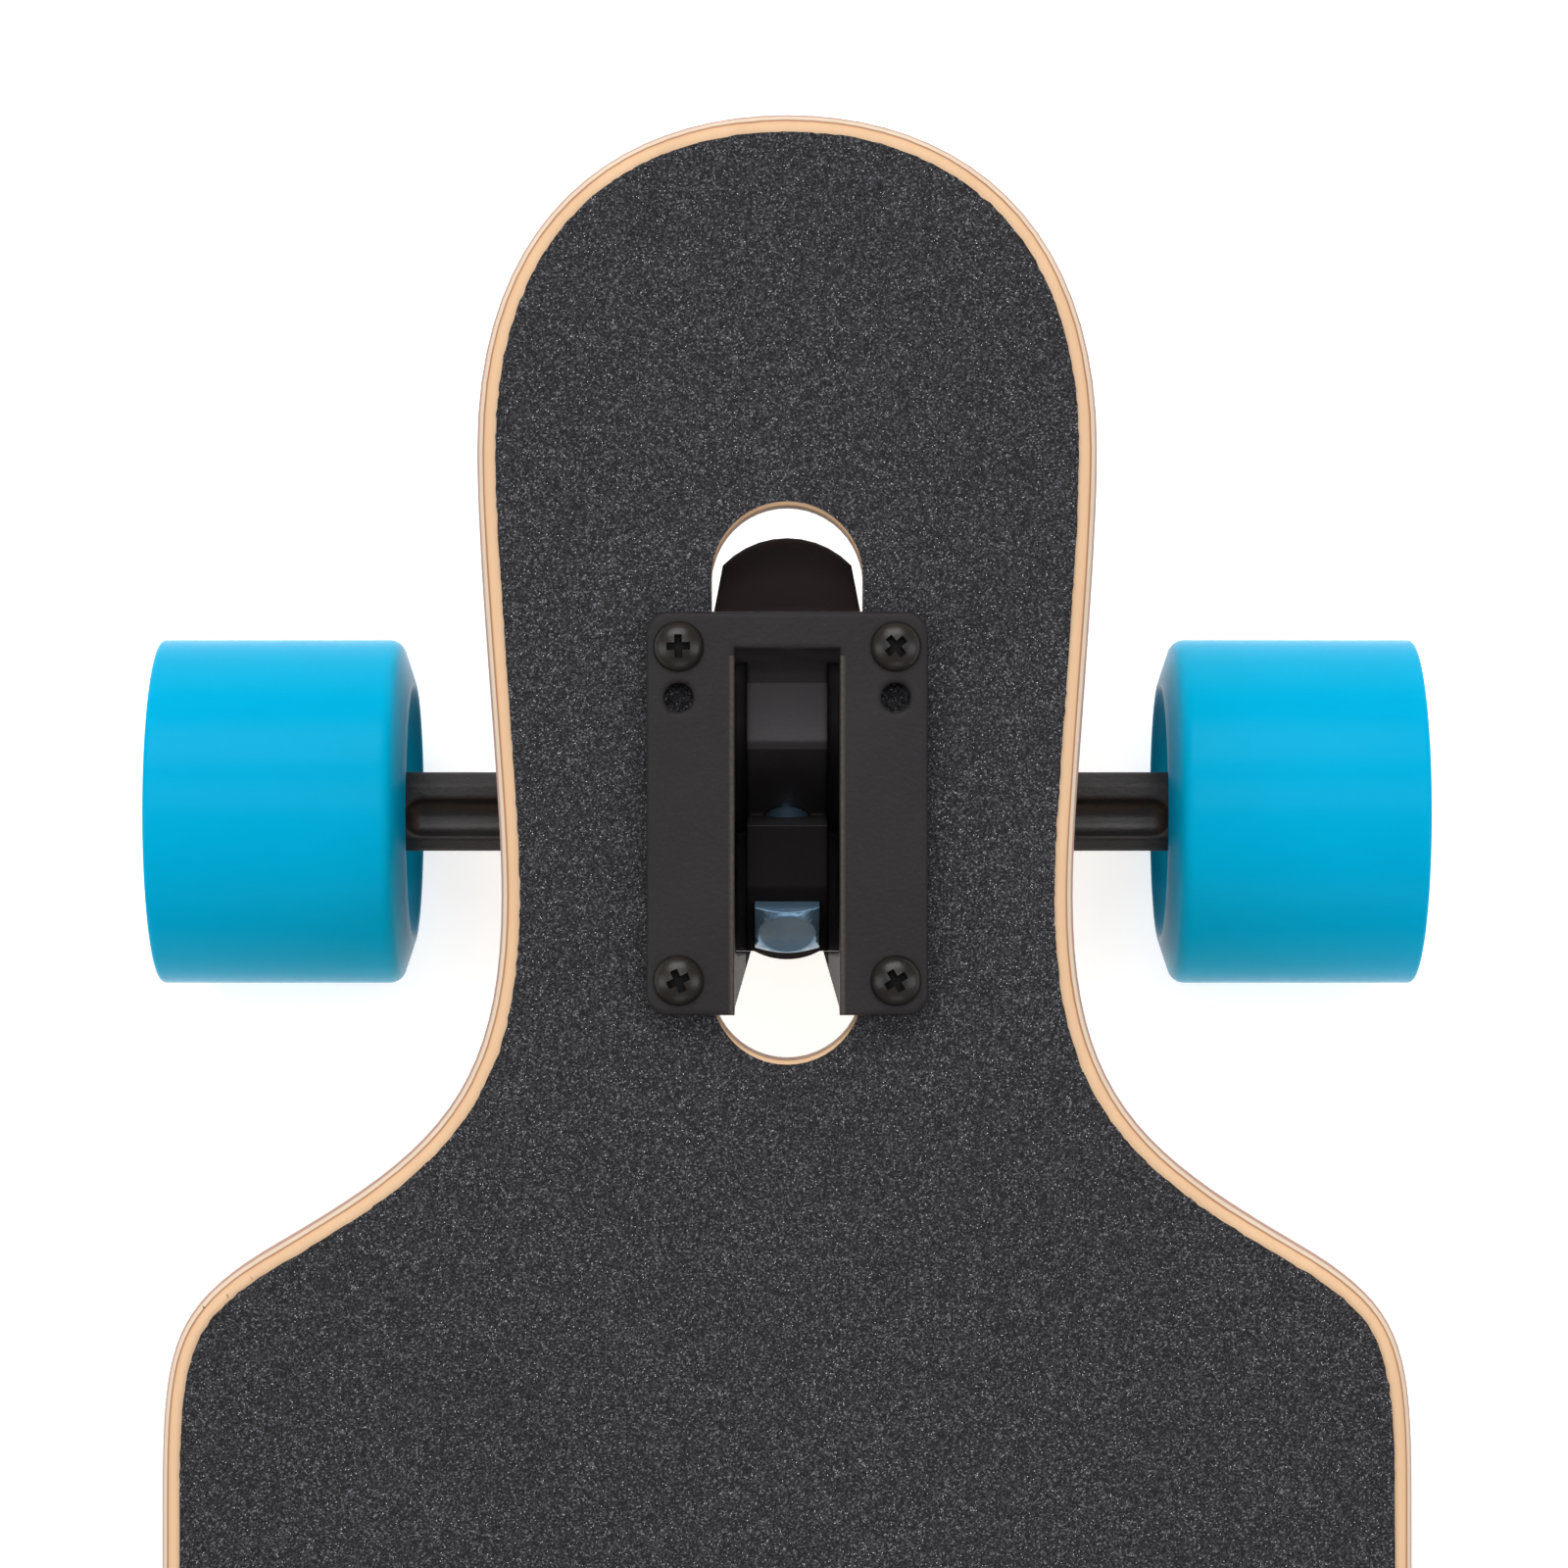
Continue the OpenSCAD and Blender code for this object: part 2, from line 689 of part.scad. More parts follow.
module motor_screws() {
    color([0.1, 0.1, 0.1])
        for (s = [-1, 1])
            on_axle(s, mount_x, motor_u, motor_z)
                motor_screw_places() {
                    translate([0, 0, -3]) cylinder(r = motor_screw_r, h = mount_t + 3 + eps);
                    translate([0, 0, mount_t]) tube(2.7, 1.2, 2.6);
                    translate([0, 0, mount_t]) cylinder(r = 1.3, h = 0.6);
                }
}

// Fixed half of the motor: flange, bearing tube, laminated core and the lead exit.
module motor_stator(sign) {
    flange_w = 4;
    tube_end = 12;
    color([0.3, 0.3, 0.32])
        on_axle(sign, 0, motor_u, motor_z)
            difference() {
                union() {
                    translate([0, 0, mount_x - flange_w]) cylinder(r = motor_r - 1, h = flange_w);
                    translate([0, 0, tube_end]) cylinder(r = 6.8, h = mount_x - tube_end);
                    translate([0, 0, tube_end + 2]) cylinder(r = stator_r, h = 28);
                    translate([-motor_r - 3, -6, mount_x - flange_w]) cube([6, 12, flange_w]);
                }
                cylinder(r = shaft_r + running_gap, h = mount_x + 1);
                translate([0, 0, mount_x - 3]) motor_screw_places() cylinder(r = motor_screw_r, h = 4);
            }
}

// Turning half of the motor: the can with its magnets, the vented end bell and the shaft.
module motor_rotor(sign) {
    bell_t = 4;
    can_end = mount_x - 4.6;
    color([0.12, 0.12, 0.13])
        on_axle(sign, motor_in_x, motor_u, motor_z) {
            difference() {
                cylinder(r = motor_r, h = can_end - motor_in_x);
                translate([0, 0, bell_t]) cylinder(r = magnet_r, h = can_end);
                for (a = [0 : 60 : 300])
                    rotate(a) translate([14.5, 0, -1]) cylinder(r = 4, h = bell_t + 2);
            }
            cylinder(r = shaft_r, h = pulley_x + pulley_w + 1 - motor_in_x);
        }
}

function smooth(p, i, t) =
    let (a = p[max(i - 1, 0)], b = p[i], c = p[i + 1], d = p[min(i + 2, len(p) - 1)])
    0.5 * (2 * b + (c - a) * t + (2 * a - 5 * b + 4 * c - d) * t * t + (3 * b - a - 3 * c + d) * t * t * t);
function unit(v) = v / norm(v);

module cord(points, r, sides = 8) {
    last = len(points) - 1;
    line = concat([for (i = [0 : last - 1], t = [0, 0.5]) smooth(points, i, t)], [points[last]]);
    n = len(line);
    rings = [for (i = [0 : n - 1])
        let (dir = unit(line[min(i + 1, n - 1)] - line[max(i - 1, 0)]),
             side = unit(cross(dir, [0, 0, 1])), up = cross(side, dir))
        for (k = [0 : sides - 1]) line[i] + r * (cos(360 * k / sides) * side + sin(360 * k / sides) * up)];
    walls = [for (i = [0 : n - 2], k = [0 : sides - 1])
        let (k2 = (k + 1) % sides)
        [i * sides + k, i * sides + k2, (i + 1) * sides + k2, (i + 1) * sides + k]];
    ends = [[for (k = [sides - 1 : -1 : 0]) k], [for (k = [0 : sides - 1]) (n - 1) * sides + k]];
    polyhedron(rings, concat(walls, ends));
}

module motor_leads() {
    color([0.08, 0.08, 0.08])
        for (m = [0, 1]) mirror([m, 0, 0]) cord(lead_points, lead_r);
}

module lead_glands() {
    color([0.1, 0.1, 0.11])
        for (s = [-1, 1])
            translate([s * gland_x, -box_len / 2 + rim_w, gland_z])
                rotate([90, 0, 0])
                    difference() {
                        union() {
                            cylinder(r = 7.5, h = 4, $fn = 6);
                            translate([0, 0, 4 - eps]) cylinder(r1 = 6.5, r2 = 5.4, h = 6);
                        }
                        translate([0, 0, -1]) cylinder(r = lead_r + 0.4, h = 13);
                    }
}

// ---- Enclosure ----

// Outer or inner block of the tub, chamfered towards its floor.
module tub_block(w, l, z0, z1, chamfer) {
    hull() {
        translate([0, 0, z0 + chamfer]) linear_extrude(z1 - z0 - chamfer) rounded_rect(w, l, box_r);
        translate([0, 0, z0])
            linear_extrude(chamfer) rounded_rect(w - 2 * chamfer, l - 2 * chamfer, box_r - chamfer);
    }
}

module enclosure() {
    color([0.13, 0.13, 0.14])
        difference() {
            union() {
                translate([0, 0, rim_z]) linear_extrude(rim_t) rounded_rect(box_w, box_len, box_r + 4);
                tub_block(box_w - 2 * rim_w, box_len - 2 * rim_w, box_z, rim_z + rim_t, 6);
            }
            tub_block(box_w - 2 * rim_w - 2 * box_wall, box_len - 2 * rim_w - 2 * box_wall,
                box_z + box_wall, rim_z + rim_t + 1, 4);
            translate([box_side_x - 10, socket_y, port_z]) rotate([0, 90, 0]) cylinder(r = socket_r, h = 20);
            translate([box_side_x - 10, button_y, port_z])
                rotate([0, 90, 0]) cylinder(r = button_r + 1, h = 20);
            for (s = [-1, 1])
                translate([s * gland_x, -box_len / 2 + rim_w + 10, gland_z])
                    rotate([90, 0, 0]) cylinder(r = lead_r + 0.4, h = 20);
            enclosure_screw_places() translate([0, 0, rim_z - 1]) cylinder(r = box_screw_r, h = rim_t + 2);
        }
}

module enclosure_screw_places() {
    side_x = box_w / 2 - rim_w / 2;
    end_y = box_len / 2 - rim_w / 2;
    for (sx = [-1, 1], i = [-2 : 2])
        translate([sx * side_x, i * (end_y - box_r) / 2, 0]) children();
    for (sy = [-1, 1], x = [-30, 30])
        translate([x, sy * end_y, 0]) children();
}

module enclosure_gasket() {
    color([0.25, 0.25, 0.26])
        translate([0, 0, deck_bottom - gasket_t])
            difference() {
                linear_extrude(gasket_t) rounded_rect(box_w, box_len, box_r + 4);
                translate([0, 0, -1]) linear_extrude(gasket_t + 2)
                    rounded_rect(box_w - 2 * rim_w - 2, box_len - 2 * rim_w - 2, box_r);
                enclosure_screw_places() translate([0, 0, -1]) cylinder(r = box_screw_r, h = gasket_t + 2);
            }
}

module enclosure_screws() {
    color([0.7, 0.7, 0.72])
        enclosure_screw_places()
            difference() {
                union() {
                    translate([0, 0, rim_z - eps]) cylinder(r = box_screw_r, h = 12);
                    translate([0, 0, rim_z - 2]) cylinder(r1 = 2.6, r2 = 3.6, h = 2);
                }
                translate([0, 0, rim_z - 3]) cylinder(r = 1.3, h = 2.2, $fn = 6);
            }
}

cell_r = 9.2;
cell_len = 65;
cell_pitch = 18.7;
cell_z = box_z + box_wall + cell_r + 1;

module battery_cells() {
    rows = 10;
    color([0.15, 0.4, 0.7])
        for (s = [-1, 1], i = [0 : rows - 1])
            translate([s * (cell_len / 2 + 1) - cell_len / 2, 5 + i * cell_pitch, cell_z])
                rotate([0, 90, 0]) cylinder(r = cell_r, h = cell_len);
}

module motor_controller() {
    length = 110;
    width = 84;
    height = 15;
    fins = 9;
    color([0.55, 0.56, 0.58])
        translate([-width / 2, -box_len / 2 + 60, box_z + box_wall + 1]) {
            cube([width, length, height]);
            for (i = [0 : fins - 1])
                translate([2 + i * (width - 6) / (fins - 1), 5, height - eps]) cube([2, length - 10, 6]);
        }
}

module charge_socket() {
    color([0.75, 0.75, 0.78])
        translate([box_side_x, socket_y, port_z])
            rotate([0, 90, 0]) {
                difference() {
                    union() {
                        translate([0, 0, -box_wall - 6]) cylinder(r = socket_r, h = box_wall + 12);
                        cylinder(r = 8.6, h = 2, $fn = 6);
                    }
                    translate([0, 0, -1]) cylinder(r = 4.7, h = 10);
                }
                for (a = [90, 210, 330])
                    rotate(a) translate([2.5, 0, -1 - eps]) cylinder(r = 0.75, h = 5);
            }
}

module button_bezel() {
    color([0.75, 0.75, 0.78])
        translate([box_side_x, button_y, port_z])
            rotate([0, 90, 0])
                difference() {
                    union() {
                        translate([0, 0, -box_wall - 8]) cylinder(r = button_r + 1, h = box_wall + 9);
                        cylinder(r = button_r + 2.5, h = 2);
                    }
                    translate([0, 0, -box_wall - 6]) cylinder(r = button_cap_r + 0.3, h = 20);
                }
}

module power_button() {
    depth = 3;
    color([0.85, 0.85, 0.87])
        translate([box_side_x, button_y, port_z])
            rotate([0, 90, 0])
                translate([0, 0, -box_wall - depth])
                    cylinder(r = button_cap_r, h = box_wall + depth + button_out);
}

// ---- Assembly ----

deck();
grip_tape();
at_truck(true) baseplate();  // front_baseplate
at_truck(false) baseplate();  // rear_baseplate
at_truck(true) kingpin();  // front_kingpin
at_truck(false) kingpin();  // rear_kingpin
both_trucks() kingpin_nut();  // kingpin_nuts
both_trucks() cup_washer_pair();  // cup_washers
at_truck(true) board_bushing();  // front_board_bushing
at_truck(false) board_bushing();  // rear_board_bushing
at_truck(true) road_bushing();  // front_road_bushing
at_truck(false) road_bushing();  // rear_road_bushing
at_truck(true) pivot_cup();  // front_pivot_cup
at_truck(false) pivot_cup();  // rear_pivot_cup
truck_bolts();
truck_nuts();
at_truck(true) hanger();  // front_hanger
at_truck(false) hanger();  // rear_hanger
at_truck(true) axle();  // front_axle
at_truck(false) axle();  // rear_axle
at_truck(true) axle_nuts();  // front_axle_nuts
at_truck(false) axle_nuts();  // rear_axle_nuts
at_truck(true) axle_spacers();  // front_axle_spacers
at_truck(false) axle_spacers();  // rear_axle_spacers
at_truck(true) wheel(-1);  // wheel_front_left
at_truck(true) wheel(1);  // wheel_front_right
at_truck(false) wheel(-1);  // wheel_rear_left
at_truck(false) wheel(1);  // wheel_rear_right
at_truck(true) core(-1);  // core_front_left
at_truck(true) core(1);  // core_front_right
at_truck(false) core(-1);  // core_rear_left
at_truck(false) core(1);  // core_rear_right
at_truck(true) bearings(-1);  // bearings_front_left
at_truck(true) bearings(1);  // bearings_front_right
at_truck(false) bearings(-1);  // bearings_rear_left
at_truck(false) bearings(1);  // bearings_rear_right
at_truck(false) wheel_pulley(-1);  // wheel_pulley_left
at_truck(false) wheel_pulley(1);  // wheel_pulley_right
at_truck(false) belt(-1);  // belt_left
at_truck(false) belt(1);  // belt_right
at_truck(false) motor_mount(-1);  // motor_mount_left
at_truck(false) motor_mount(1);  // motor_mount_right
at_truck(false) motor_screws();
at_truck(false) motor_stator(-1);  // motor_stator_left
at_truck(false) motor_stator(1);  // motor_stator_right
at_truck(false) motor_rotor(-1);  // motor_rotor_left
at_truck(false) motor_rotor(1);  // motor_rotor_right
at_truck(false) motor_pulley(-1);  // motor_pulley_left
at_truck(false) motor_pulley(1);  // motor_pulley_right
motor_leads();
lead_glands();
enclosure();
enclosure_gasket();
enclosure_screws();
battery_cells();
motor_controller();
charge_socket();
button_bezel();
power_button();
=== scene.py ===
# %% [markdown]
# # An electric longboard
# This lesson dresses a working model of a longboard. The model already holds every part at its real size, in the
# order in which it bolts together, so a size or a place is never guessed here: it is read from the parts.
# The board lies along Y with its nose at +Y, X runs across it, and Z rises from the floor. Lengths are in metres.

# %% Load the working model
import json
import math

import bmesh
import bpy
from mathutils import Matrix, Vector, noise
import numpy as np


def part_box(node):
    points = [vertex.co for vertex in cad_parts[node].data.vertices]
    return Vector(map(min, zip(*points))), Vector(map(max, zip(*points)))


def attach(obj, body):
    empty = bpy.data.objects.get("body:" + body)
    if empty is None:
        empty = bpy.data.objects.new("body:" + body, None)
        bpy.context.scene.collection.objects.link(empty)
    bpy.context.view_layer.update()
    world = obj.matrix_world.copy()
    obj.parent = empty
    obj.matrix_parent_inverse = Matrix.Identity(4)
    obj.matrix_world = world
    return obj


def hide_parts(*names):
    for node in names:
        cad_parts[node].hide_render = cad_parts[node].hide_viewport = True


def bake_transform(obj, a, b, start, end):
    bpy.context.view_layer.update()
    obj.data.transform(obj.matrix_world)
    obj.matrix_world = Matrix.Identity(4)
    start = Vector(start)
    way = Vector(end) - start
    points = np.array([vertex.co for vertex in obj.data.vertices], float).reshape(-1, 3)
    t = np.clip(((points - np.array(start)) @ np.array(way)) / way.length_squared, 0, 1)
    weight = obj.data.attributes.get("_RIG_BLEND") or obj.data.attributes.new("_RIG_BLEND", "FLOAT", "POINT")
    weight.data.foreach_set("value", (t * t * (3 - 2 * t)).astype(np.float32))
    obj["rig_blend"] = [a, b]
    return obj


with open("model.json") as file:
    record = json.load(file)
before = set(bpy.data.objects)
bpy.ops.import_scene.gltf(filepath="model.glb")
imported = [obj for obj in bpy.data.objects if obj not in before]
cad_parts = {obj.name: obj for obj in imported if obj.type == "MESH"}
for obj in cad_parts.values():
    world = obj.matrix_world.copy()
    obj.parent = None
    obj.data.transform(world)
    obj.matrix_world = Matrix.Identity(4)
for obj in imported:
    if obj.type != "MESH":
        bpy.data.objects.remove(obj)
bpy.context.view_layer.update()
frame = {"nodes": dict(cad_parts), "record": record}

scene = bpy.context.scene

# %% [markdown]
# ## Names and measures used all through
# A maker thinks in millimetres and in the colours of a paint chart, so two small helpers turn those into metres
# and into the linear light that a renderer works with.

# %% Units and colours
MM = 0.001


def srgb(red, green, blue):
    """A colour as it looks on a screen, 0 to 255, turned into linear light."""
    return tuple(((c / 255 + 0.055) / 1.055) ** 2.4 if c > 10 else c / 255 / 12.92 for c in (red, green, blue)) + (1,)


def middle(node):
    """The centre of a part's box."""
    low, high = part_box(node)
    return (low + high) / 2


front_axle = middle("front_axle")
rear_axle = middle("rear_axle")
deck_low, deck_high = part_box("deck")
print("wheelbase", round((front_axle.y - rear_axle.y) / MM, 1), "mm")

# %% [markdown]
# ## The camera
# The board is seen from straight above its front truck, from a little over a metre away, through a long lens.
# A long lens keeps the wheels, which lie lower than the deck, almost as large as they really are.

# %% Camera
CAMERA_HEIGHT = 1050 * MM
camera = bpy.data.objects.new("camera", bpy.data.cameras.new("camera"))
scene.collection.objects.link(camera)
camera.location = (-0.6 * MM, front_axle.y + 5.6 * MM, front_axle.z + CAMERA_HEIGHT)
camera.data.sensor_width = 36
camera.data.lens = 118
scene.camera = camera
print("camera above the front axle at", round(camera.location.z, 3), "m")

# %% [markdown]
# ## Shader maths in plain Python
# A finish is a graph of nodes, and a graph is hard to read as code. A wire is a small wrapper round one socket that
# understands + - * and the like, so a mask can be written as an ordinary expression. One method, `node`, makes
# every other kind of node from its type, its settings and the values of its sockets.

# %% Wires and finishes
class Wire:
    """A shader socket that can stand in an arithmetic expression."""

    def __init__(self, finish, socket):
        self.finish = finish
        self.socket = socket

    def maths(self, operation, *others, clamp=False):
        settings = {"operation": operation, "use_clamp": clamp}
        inputs = {0: self} | {i + 1: other for i, other in enumerate(others)}
        return self.finish.node("Math", settings, inputs)

    def __add__(self, other):
        return self.maths("ADD", other)

    __radd__ = __add__

    def __mul__(self, other):
        return self.maths("MULTIPLY", other)

    __rmul__ = __mul__

    def __sub__(self, other):
        return self.maths("SUBTRACT", other)

    def __rsub__(self, other):
        return (self * -1) + other

    def __truediv__(self, other):
        return self.maths("DIVIDE", other)

    def __gt__(self, level):
        return self.maths("GREATER_THAN", level)

    def __lt__(self, level):
        return self.maths("LESS_THAN", level)

    def held(self):
        """The value, kept between 0 and 1."""
        return self.maths("ADD", 0.0, clamp=True)

    def between(self, low, high):
        """0 at low, 1 at high, and a soft step from one to the other."""
        settings = {"interpolation_type": "SMOOTHSTEP"}
        return self.finish.node("MapRange", settings, {"Value": self, "From Min": low, "From Max": high})


class Finish:
    """A material that is being made, with one shader and its output."""

    def __init__(self, name):
        self.material = bpy.data.materials.new(name + "_finish")
        self.material.use_nodes = True
        self.tree = self.material.node_tree
        self.tree.nodes.clear()
        self.output = self.tree.nodes.new("ShaderNodeOutputMaterial")
        self.shader = self.tree.nodes.new("ShaderNodeBsdfPrincipled")
        self.tree.links.new(self.shader.outputs[0], self.output.inputs["Surface"])

    def plug(self, socket, value):
        """Links a wire to a socket, or sets the socket to a value."""
        if isinstance(value, Wire):
            self.tree.links.new(value.socket, socket)
        else:
            socket.default_value = value

    def node(self, kind, settings=None, inputs=None, output=0):
        """Any node: its type, its settings, then its sockets. Returns a wire from one output."""
        made = self.tree.nodes.new("ShaderNode" + kind)
        for name, value in (settings or {}).items():
            if name == "stops":
                ramp = made.color_ramp
                while len(ramp.elements) < len(value):
                    ramp.elements.new(0.5)
                for element, (position, colour) in zip(ramp.elements, value):
                    element.position = position
                    element.color = colour
            else:
                setattr(made, name, value)
        for name, value in (inputs or {}).items():
            self.plug(made.inputs[name], value)
        return Wire(self, made.outputs[output])

    def place(self):
        """Where a point lies on the object, in metres."""
        return self.node("TexCoord", output="Object")

    def part(self, axis):
        """One coordinate of a point, by the letter of its axis."""
        return self.node("SeparateXYZ", inputs={0: self.place()}, output=axis)

    def scaled(self, x, y, z):
        """The place of a point, stretched along each axis, for patterns with a grain."""
        return self.node("VectorMath", {"operation": "MULTIPLY"}, {0: self.place(), 1: (x, y, z)})

    def mottle(self, size, detail=3.0, at=None, roughness=0.5):
        """Cloudy noise whose blots are about that many metres across, from 0 to 1."""
        inputs = {"Scale": 1 / size, "Detail": detail, "Roughness": roughness}
        inputs["Vector"] = self.place() if at is None else at
        return self.node("TexNoise", inputs=inputs)

    def mix(self, amount, first, second):
        """first where amount is 0, second where it is 1, as colours."""
        settings = {"data_type": "RGBA"}
        made = self.tree.nodes.new("ShaderNodeMix")
        for name, value in settings.items():
            setattr(made, name, value)
        self.plug(made.inputs["Factor"], amount)
        self.plug(made.inputs[6], first)
        self.plug(made.inputs[7], second)
        return Wire(self, made.outputs[2])

    def ramp(self, value, *stops):
        """A colour read off a scale of (position, colour) stops."""
        return self.node("ValToRGB", {"stops": stops}, {0: value})

    def bump(self, height, distance, strength=1.0, under=None):
        """A surface pushed in and out by a height from 0 to 1 times a distance in metres."""
        inputs = {"Height": height, "Distance": distance, "Strength": strength}
        if under is not None:
            inputs["Normal"] = under
        return self.node("Bump", inputs=inputs)

    def set(self, **sockets):
        """Sets the shader's sockets, with _ for the spaces in their names."""
        for name, value in sockets.items():
            self.plug(self.shader.inputs[name.replace("_", " ")], value)
        return self.material


print("shader tools ready")

# %% [markdown]
# ## Grip tape
# Grip tape is black paper covered with grains of silicon carbide, about a third of a millimetre across. Seen from
# above, most grains are charcoal, some catch the light, and a few flash white. Cells of a Voronoi pattern make the
# grains: each has its own random number, which picks its shade and tilts its face. The paler grains are partly
# painted highlight, and the white flashes are painted glints, put into the colour of the grains.

# %% Grip tape finish
def grip_finish():
    f = Finish("grip")
    grain = {"feature": "F1", "distance": "EUCLIDEAN"}
    cells = {"Vector": f.place(), "Scale": 1 / (0.27 * MM)}
    shade = f.node("SeparateColor", inputs={0: f.node("TexVoronoi", grain, cells, output="Color")}, output=0)
    second = f.node("SeparateColor", inputs={0: f.node("TexVoronoi", grain, cells, output="Color")}, output=1)
    dome = f.node("TexVoronoi", grain, cells, output="Distance")
    fine = f.mottle(0.22 * MM, 2.0)
    clump = f.mottle(1.4 * MM, 3.0)
    worn = f.mottle(60 * MM, 4.0)
    # Random shades of the grains; the paler ones are partly painted highlight.
    body = f.ramp(
        (shade * 0.62 + fine * 0.3 + clump * 0.16 - 0.06 + worn * 0.05).held(),
        (0.14, srgb(8, 8, 9)),
        (0.45, srgb(30, 30, 33)),
        (0.72, srgb(64, 64, 68)),
        (0.92, srgb(138, 138, 147)),
    )
    # Painted glints: a few grains are coloured near white for the flashes of light off their faces.
    painted_glint = (second > 0.972) * (dome < 0.3)
    colour = f.mix(painted_glint, body, srgb(236, 238, 242))
    rough = 0.82 - painted_glint * 0.45
    height = (1 - dome) * 0.6 + shade * 0.6 + fine * 0.3
    return f.set(
        Base_Color=colour, Roughness=rough, Specular_IOR_Level=0.35, Normal=f.bump(height, 0.12 * MM, 0.75)
    )


GRIP = grip_finish()
print("grip tape finish:", GRIP.name)

# %% [markdown]
# ## Deck edge
# The deck is pressed from veneers. Its rounded edge cuts through them, so each veneer shows as a thin line that
# runs along the edge: pale orange wood under the tape, then a whitish sheet, then a pink-brown one. On the flat
# top and underside only one veneer shows. The lines follow the height inside the deck, so the finish first takes
# away the curve of the side wings, and then reads a scale of colours by height.

# %% Deck finish
DECK_T = 11 * MM
WING_START = 84 * MM
WING_RISE = 5 * MM
HALF_WIDTH = deck_high.x
DECK_BOTTOM = deck_low.z


def wood_finish():
    f = Finish("plywood")
    across = f.part(0).maths("ABSOLUTE")
    turn = ((across - WING_START) / (HALF_WIDTH - WING_START) * (math.pi / 2)).maths("MAXIMUM", 0.0)
    wing = (1 - turn.maths("COSINE")) * WING_RISE
    wobble = f.mottle(9 * MM, 2.0, at=f.scaled(1, 0.15, 1)) - 0.5
    level = (f.part(2) - DECK_BOTTOM - wing) / DECK_T + wobble * 0.02
    grain = f.mottle(0.5 * MM, 4.0, at=f.scaled(1, 0.035, 1), roughness=0.6)
    broad = f.mottle(7 * MM, 3.0, at=f.scaled(1, 0.06, 1))
    veneer = f.ramp(
        level.held(),
        (0.00, srgb(214, 178, 140)),
        (0.14, srgb(206, 166, 128)),
        (0.15, srgb(168, 128, 112)),
        (0.20, srgb(182, 142, 124)),
        (0.21, srgb(228, 216, 200)),
        (0.31, srgb(230, 220, 206)),
        (0.32, srgb(172, 132, 116)),
        (0.47, srgb(178, 138, 122)),
        (0.48, srgb(232, 222, 208)),
        (0.62, srgb(228, 216, 202)),
        (0.64, srgb(176, 136, 122)),
        (0.83, srgb(184, 146, 130)),
        (0.85, srgb(226, 206, 182)),
        (0.915, srgb(232, 214, 190)),
        (0.925, srgb(172, 124, 92)),
        (0.942, srgb(176, 126, 94)),
        (0.952, srgb(234, 192, 150)),
        (1.00, srgb(242, 204, 164)),
    )
    tone = f.mix(((grain - 0.5) * 0.5 + (broad - 0.5) * 0.3 + 0.35).held(), veneer, srgb(150, 96, 58))
    colour = f.mix((broad * 0.35).held(), veneer, tone)
    pores = (grain - 0.5) * 0.7 + 0.5
    return f.set(
        Base_Color=f.mix((0.5 - pores * 0.5).held(), colour, tone),
        Roughness=0.5 + grain * 0.2,
        Specular_IOR_Level=0.4,
        Normal=f.bump(grain, 0.08 * MM, 0.5),
    )


WOOD = wood_finish()
print("veneers over", round(DECK_T / MM, 1), "mm")

# %% [markdown]
# ## Other finishes
# Each finish has the marks of the way it was made: cast parts are softly pebbled under their paint, turned parts
# carry rings, extruded and moulded parts are smooth with a faint haze, and zinc plate is bright with a cool tint.

# %% Painted castings, moulded plastic and rubber
PLATE_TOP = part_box("front_baseplate")[1].z
SLOT_HALF = 10 * MM
BLOCK_HALF = 7.8 * MM
BLOCK_START, BLOCK_END = 12.3 * MM, 25 * MM
BOSS_HALF = 8 * MM
BOSS_START = -2.5 * MM
SLOT_END = 30 * MM
TONGUE_START = 38.5 * MM
RIM_LIGHT_OFFSET, RIM_LIGHT_HALF = 0.45 * MM, 0.75 * MM


def painted_finish(name, colour, worn, rough, pebble, dust=0.12, soft_edge=0.0, shine=0.5, slotted=False):
    """Black paint or plastic: a base colour, cloudy dust and a pebbled skin of the given size in metres.
    A slotted casting has painted highlights on its slot rims, a block painted paler as light, a rough boss deep in
    its slot painted near black as shade, and a tongue painted darker as shade."""
    f = Finish(name)
    edge = f.node("Bevel", {"samples": 6}, {"Radius": soft_edge}) if soft_edge else None
    cloud = f.mottle(18 * MM, 4.0)
    fine = f.mottle(pebble, 2.0)
    specks = f.mottle(1.1 * MM, 1.0) > 0.68
    mask = ((cloud - 0.45) * 1.4).held() * dust + specks * dust * 0.25
    paint = f.mix(mask, colour, worn)
    rough = rough + (cloud - 0.5) * 0.16 + (fine - 0.5) * 0.1
    if slotted:
        outboard = f.part(1).maths("ABSOLUTE") - front_axle.y
        across = f.part(0).maths("ABSOLUTE")
        # Painted highlight: a narrow band along each slot rim, near the top, is painted pale brown where light
        # catches the edge.
        rim_band = (1 - (across - SLOT_HALF - RIM_LIGHT_OFFSET).maths("ABSOLUTE") / RIM_LIGHT_HALF).held()
        high = f.part(2).between(PLATE_TOP - 2.5 * MM, PLATE_TOP - 0.2 * MM)
        rim = rim_band * high * (outboard < SLOT_END) * (fine * 0.6 + 0.2)
        # Painted light: the block in the slot is painted paler, as light falling on it.
        painted_block_light = (outboard > BLOCK_START) * (outboard < BLOCK_END) * (across < BLOCK_HALF)
        # Painted shade: the boss deep in the slot is painted near black; it is also made rougher.
        rough_boss_painted_shade = (outboard < BOSS_START) * (across < BOSS_HALF)
        paint = f.mix(rim, paint, srgb(108, 99, 93))
        paint = f.mix(painted_block_light, paint, srgb(70, 66, 69))
        # Painted shade: the tongue beyond the plate's end is painted darker, as the shade on it.
        paint = f.mix(outboard > TONGUE_START, paint, srgb(25, 18, 20))
        paint = f.mix(rough_boss_painted_shade, paint, srgb(14, 10, 11))
        rough = (rough + rough_boss_painted_shade * 0.4).held()
    return f.set(
        Base_Color=paint,
        Roughness=rough,
        Normal=f.bump(fine, pebble * 0.12, 0.6, edge),
        Specular_IOR_Level=shine,
    )


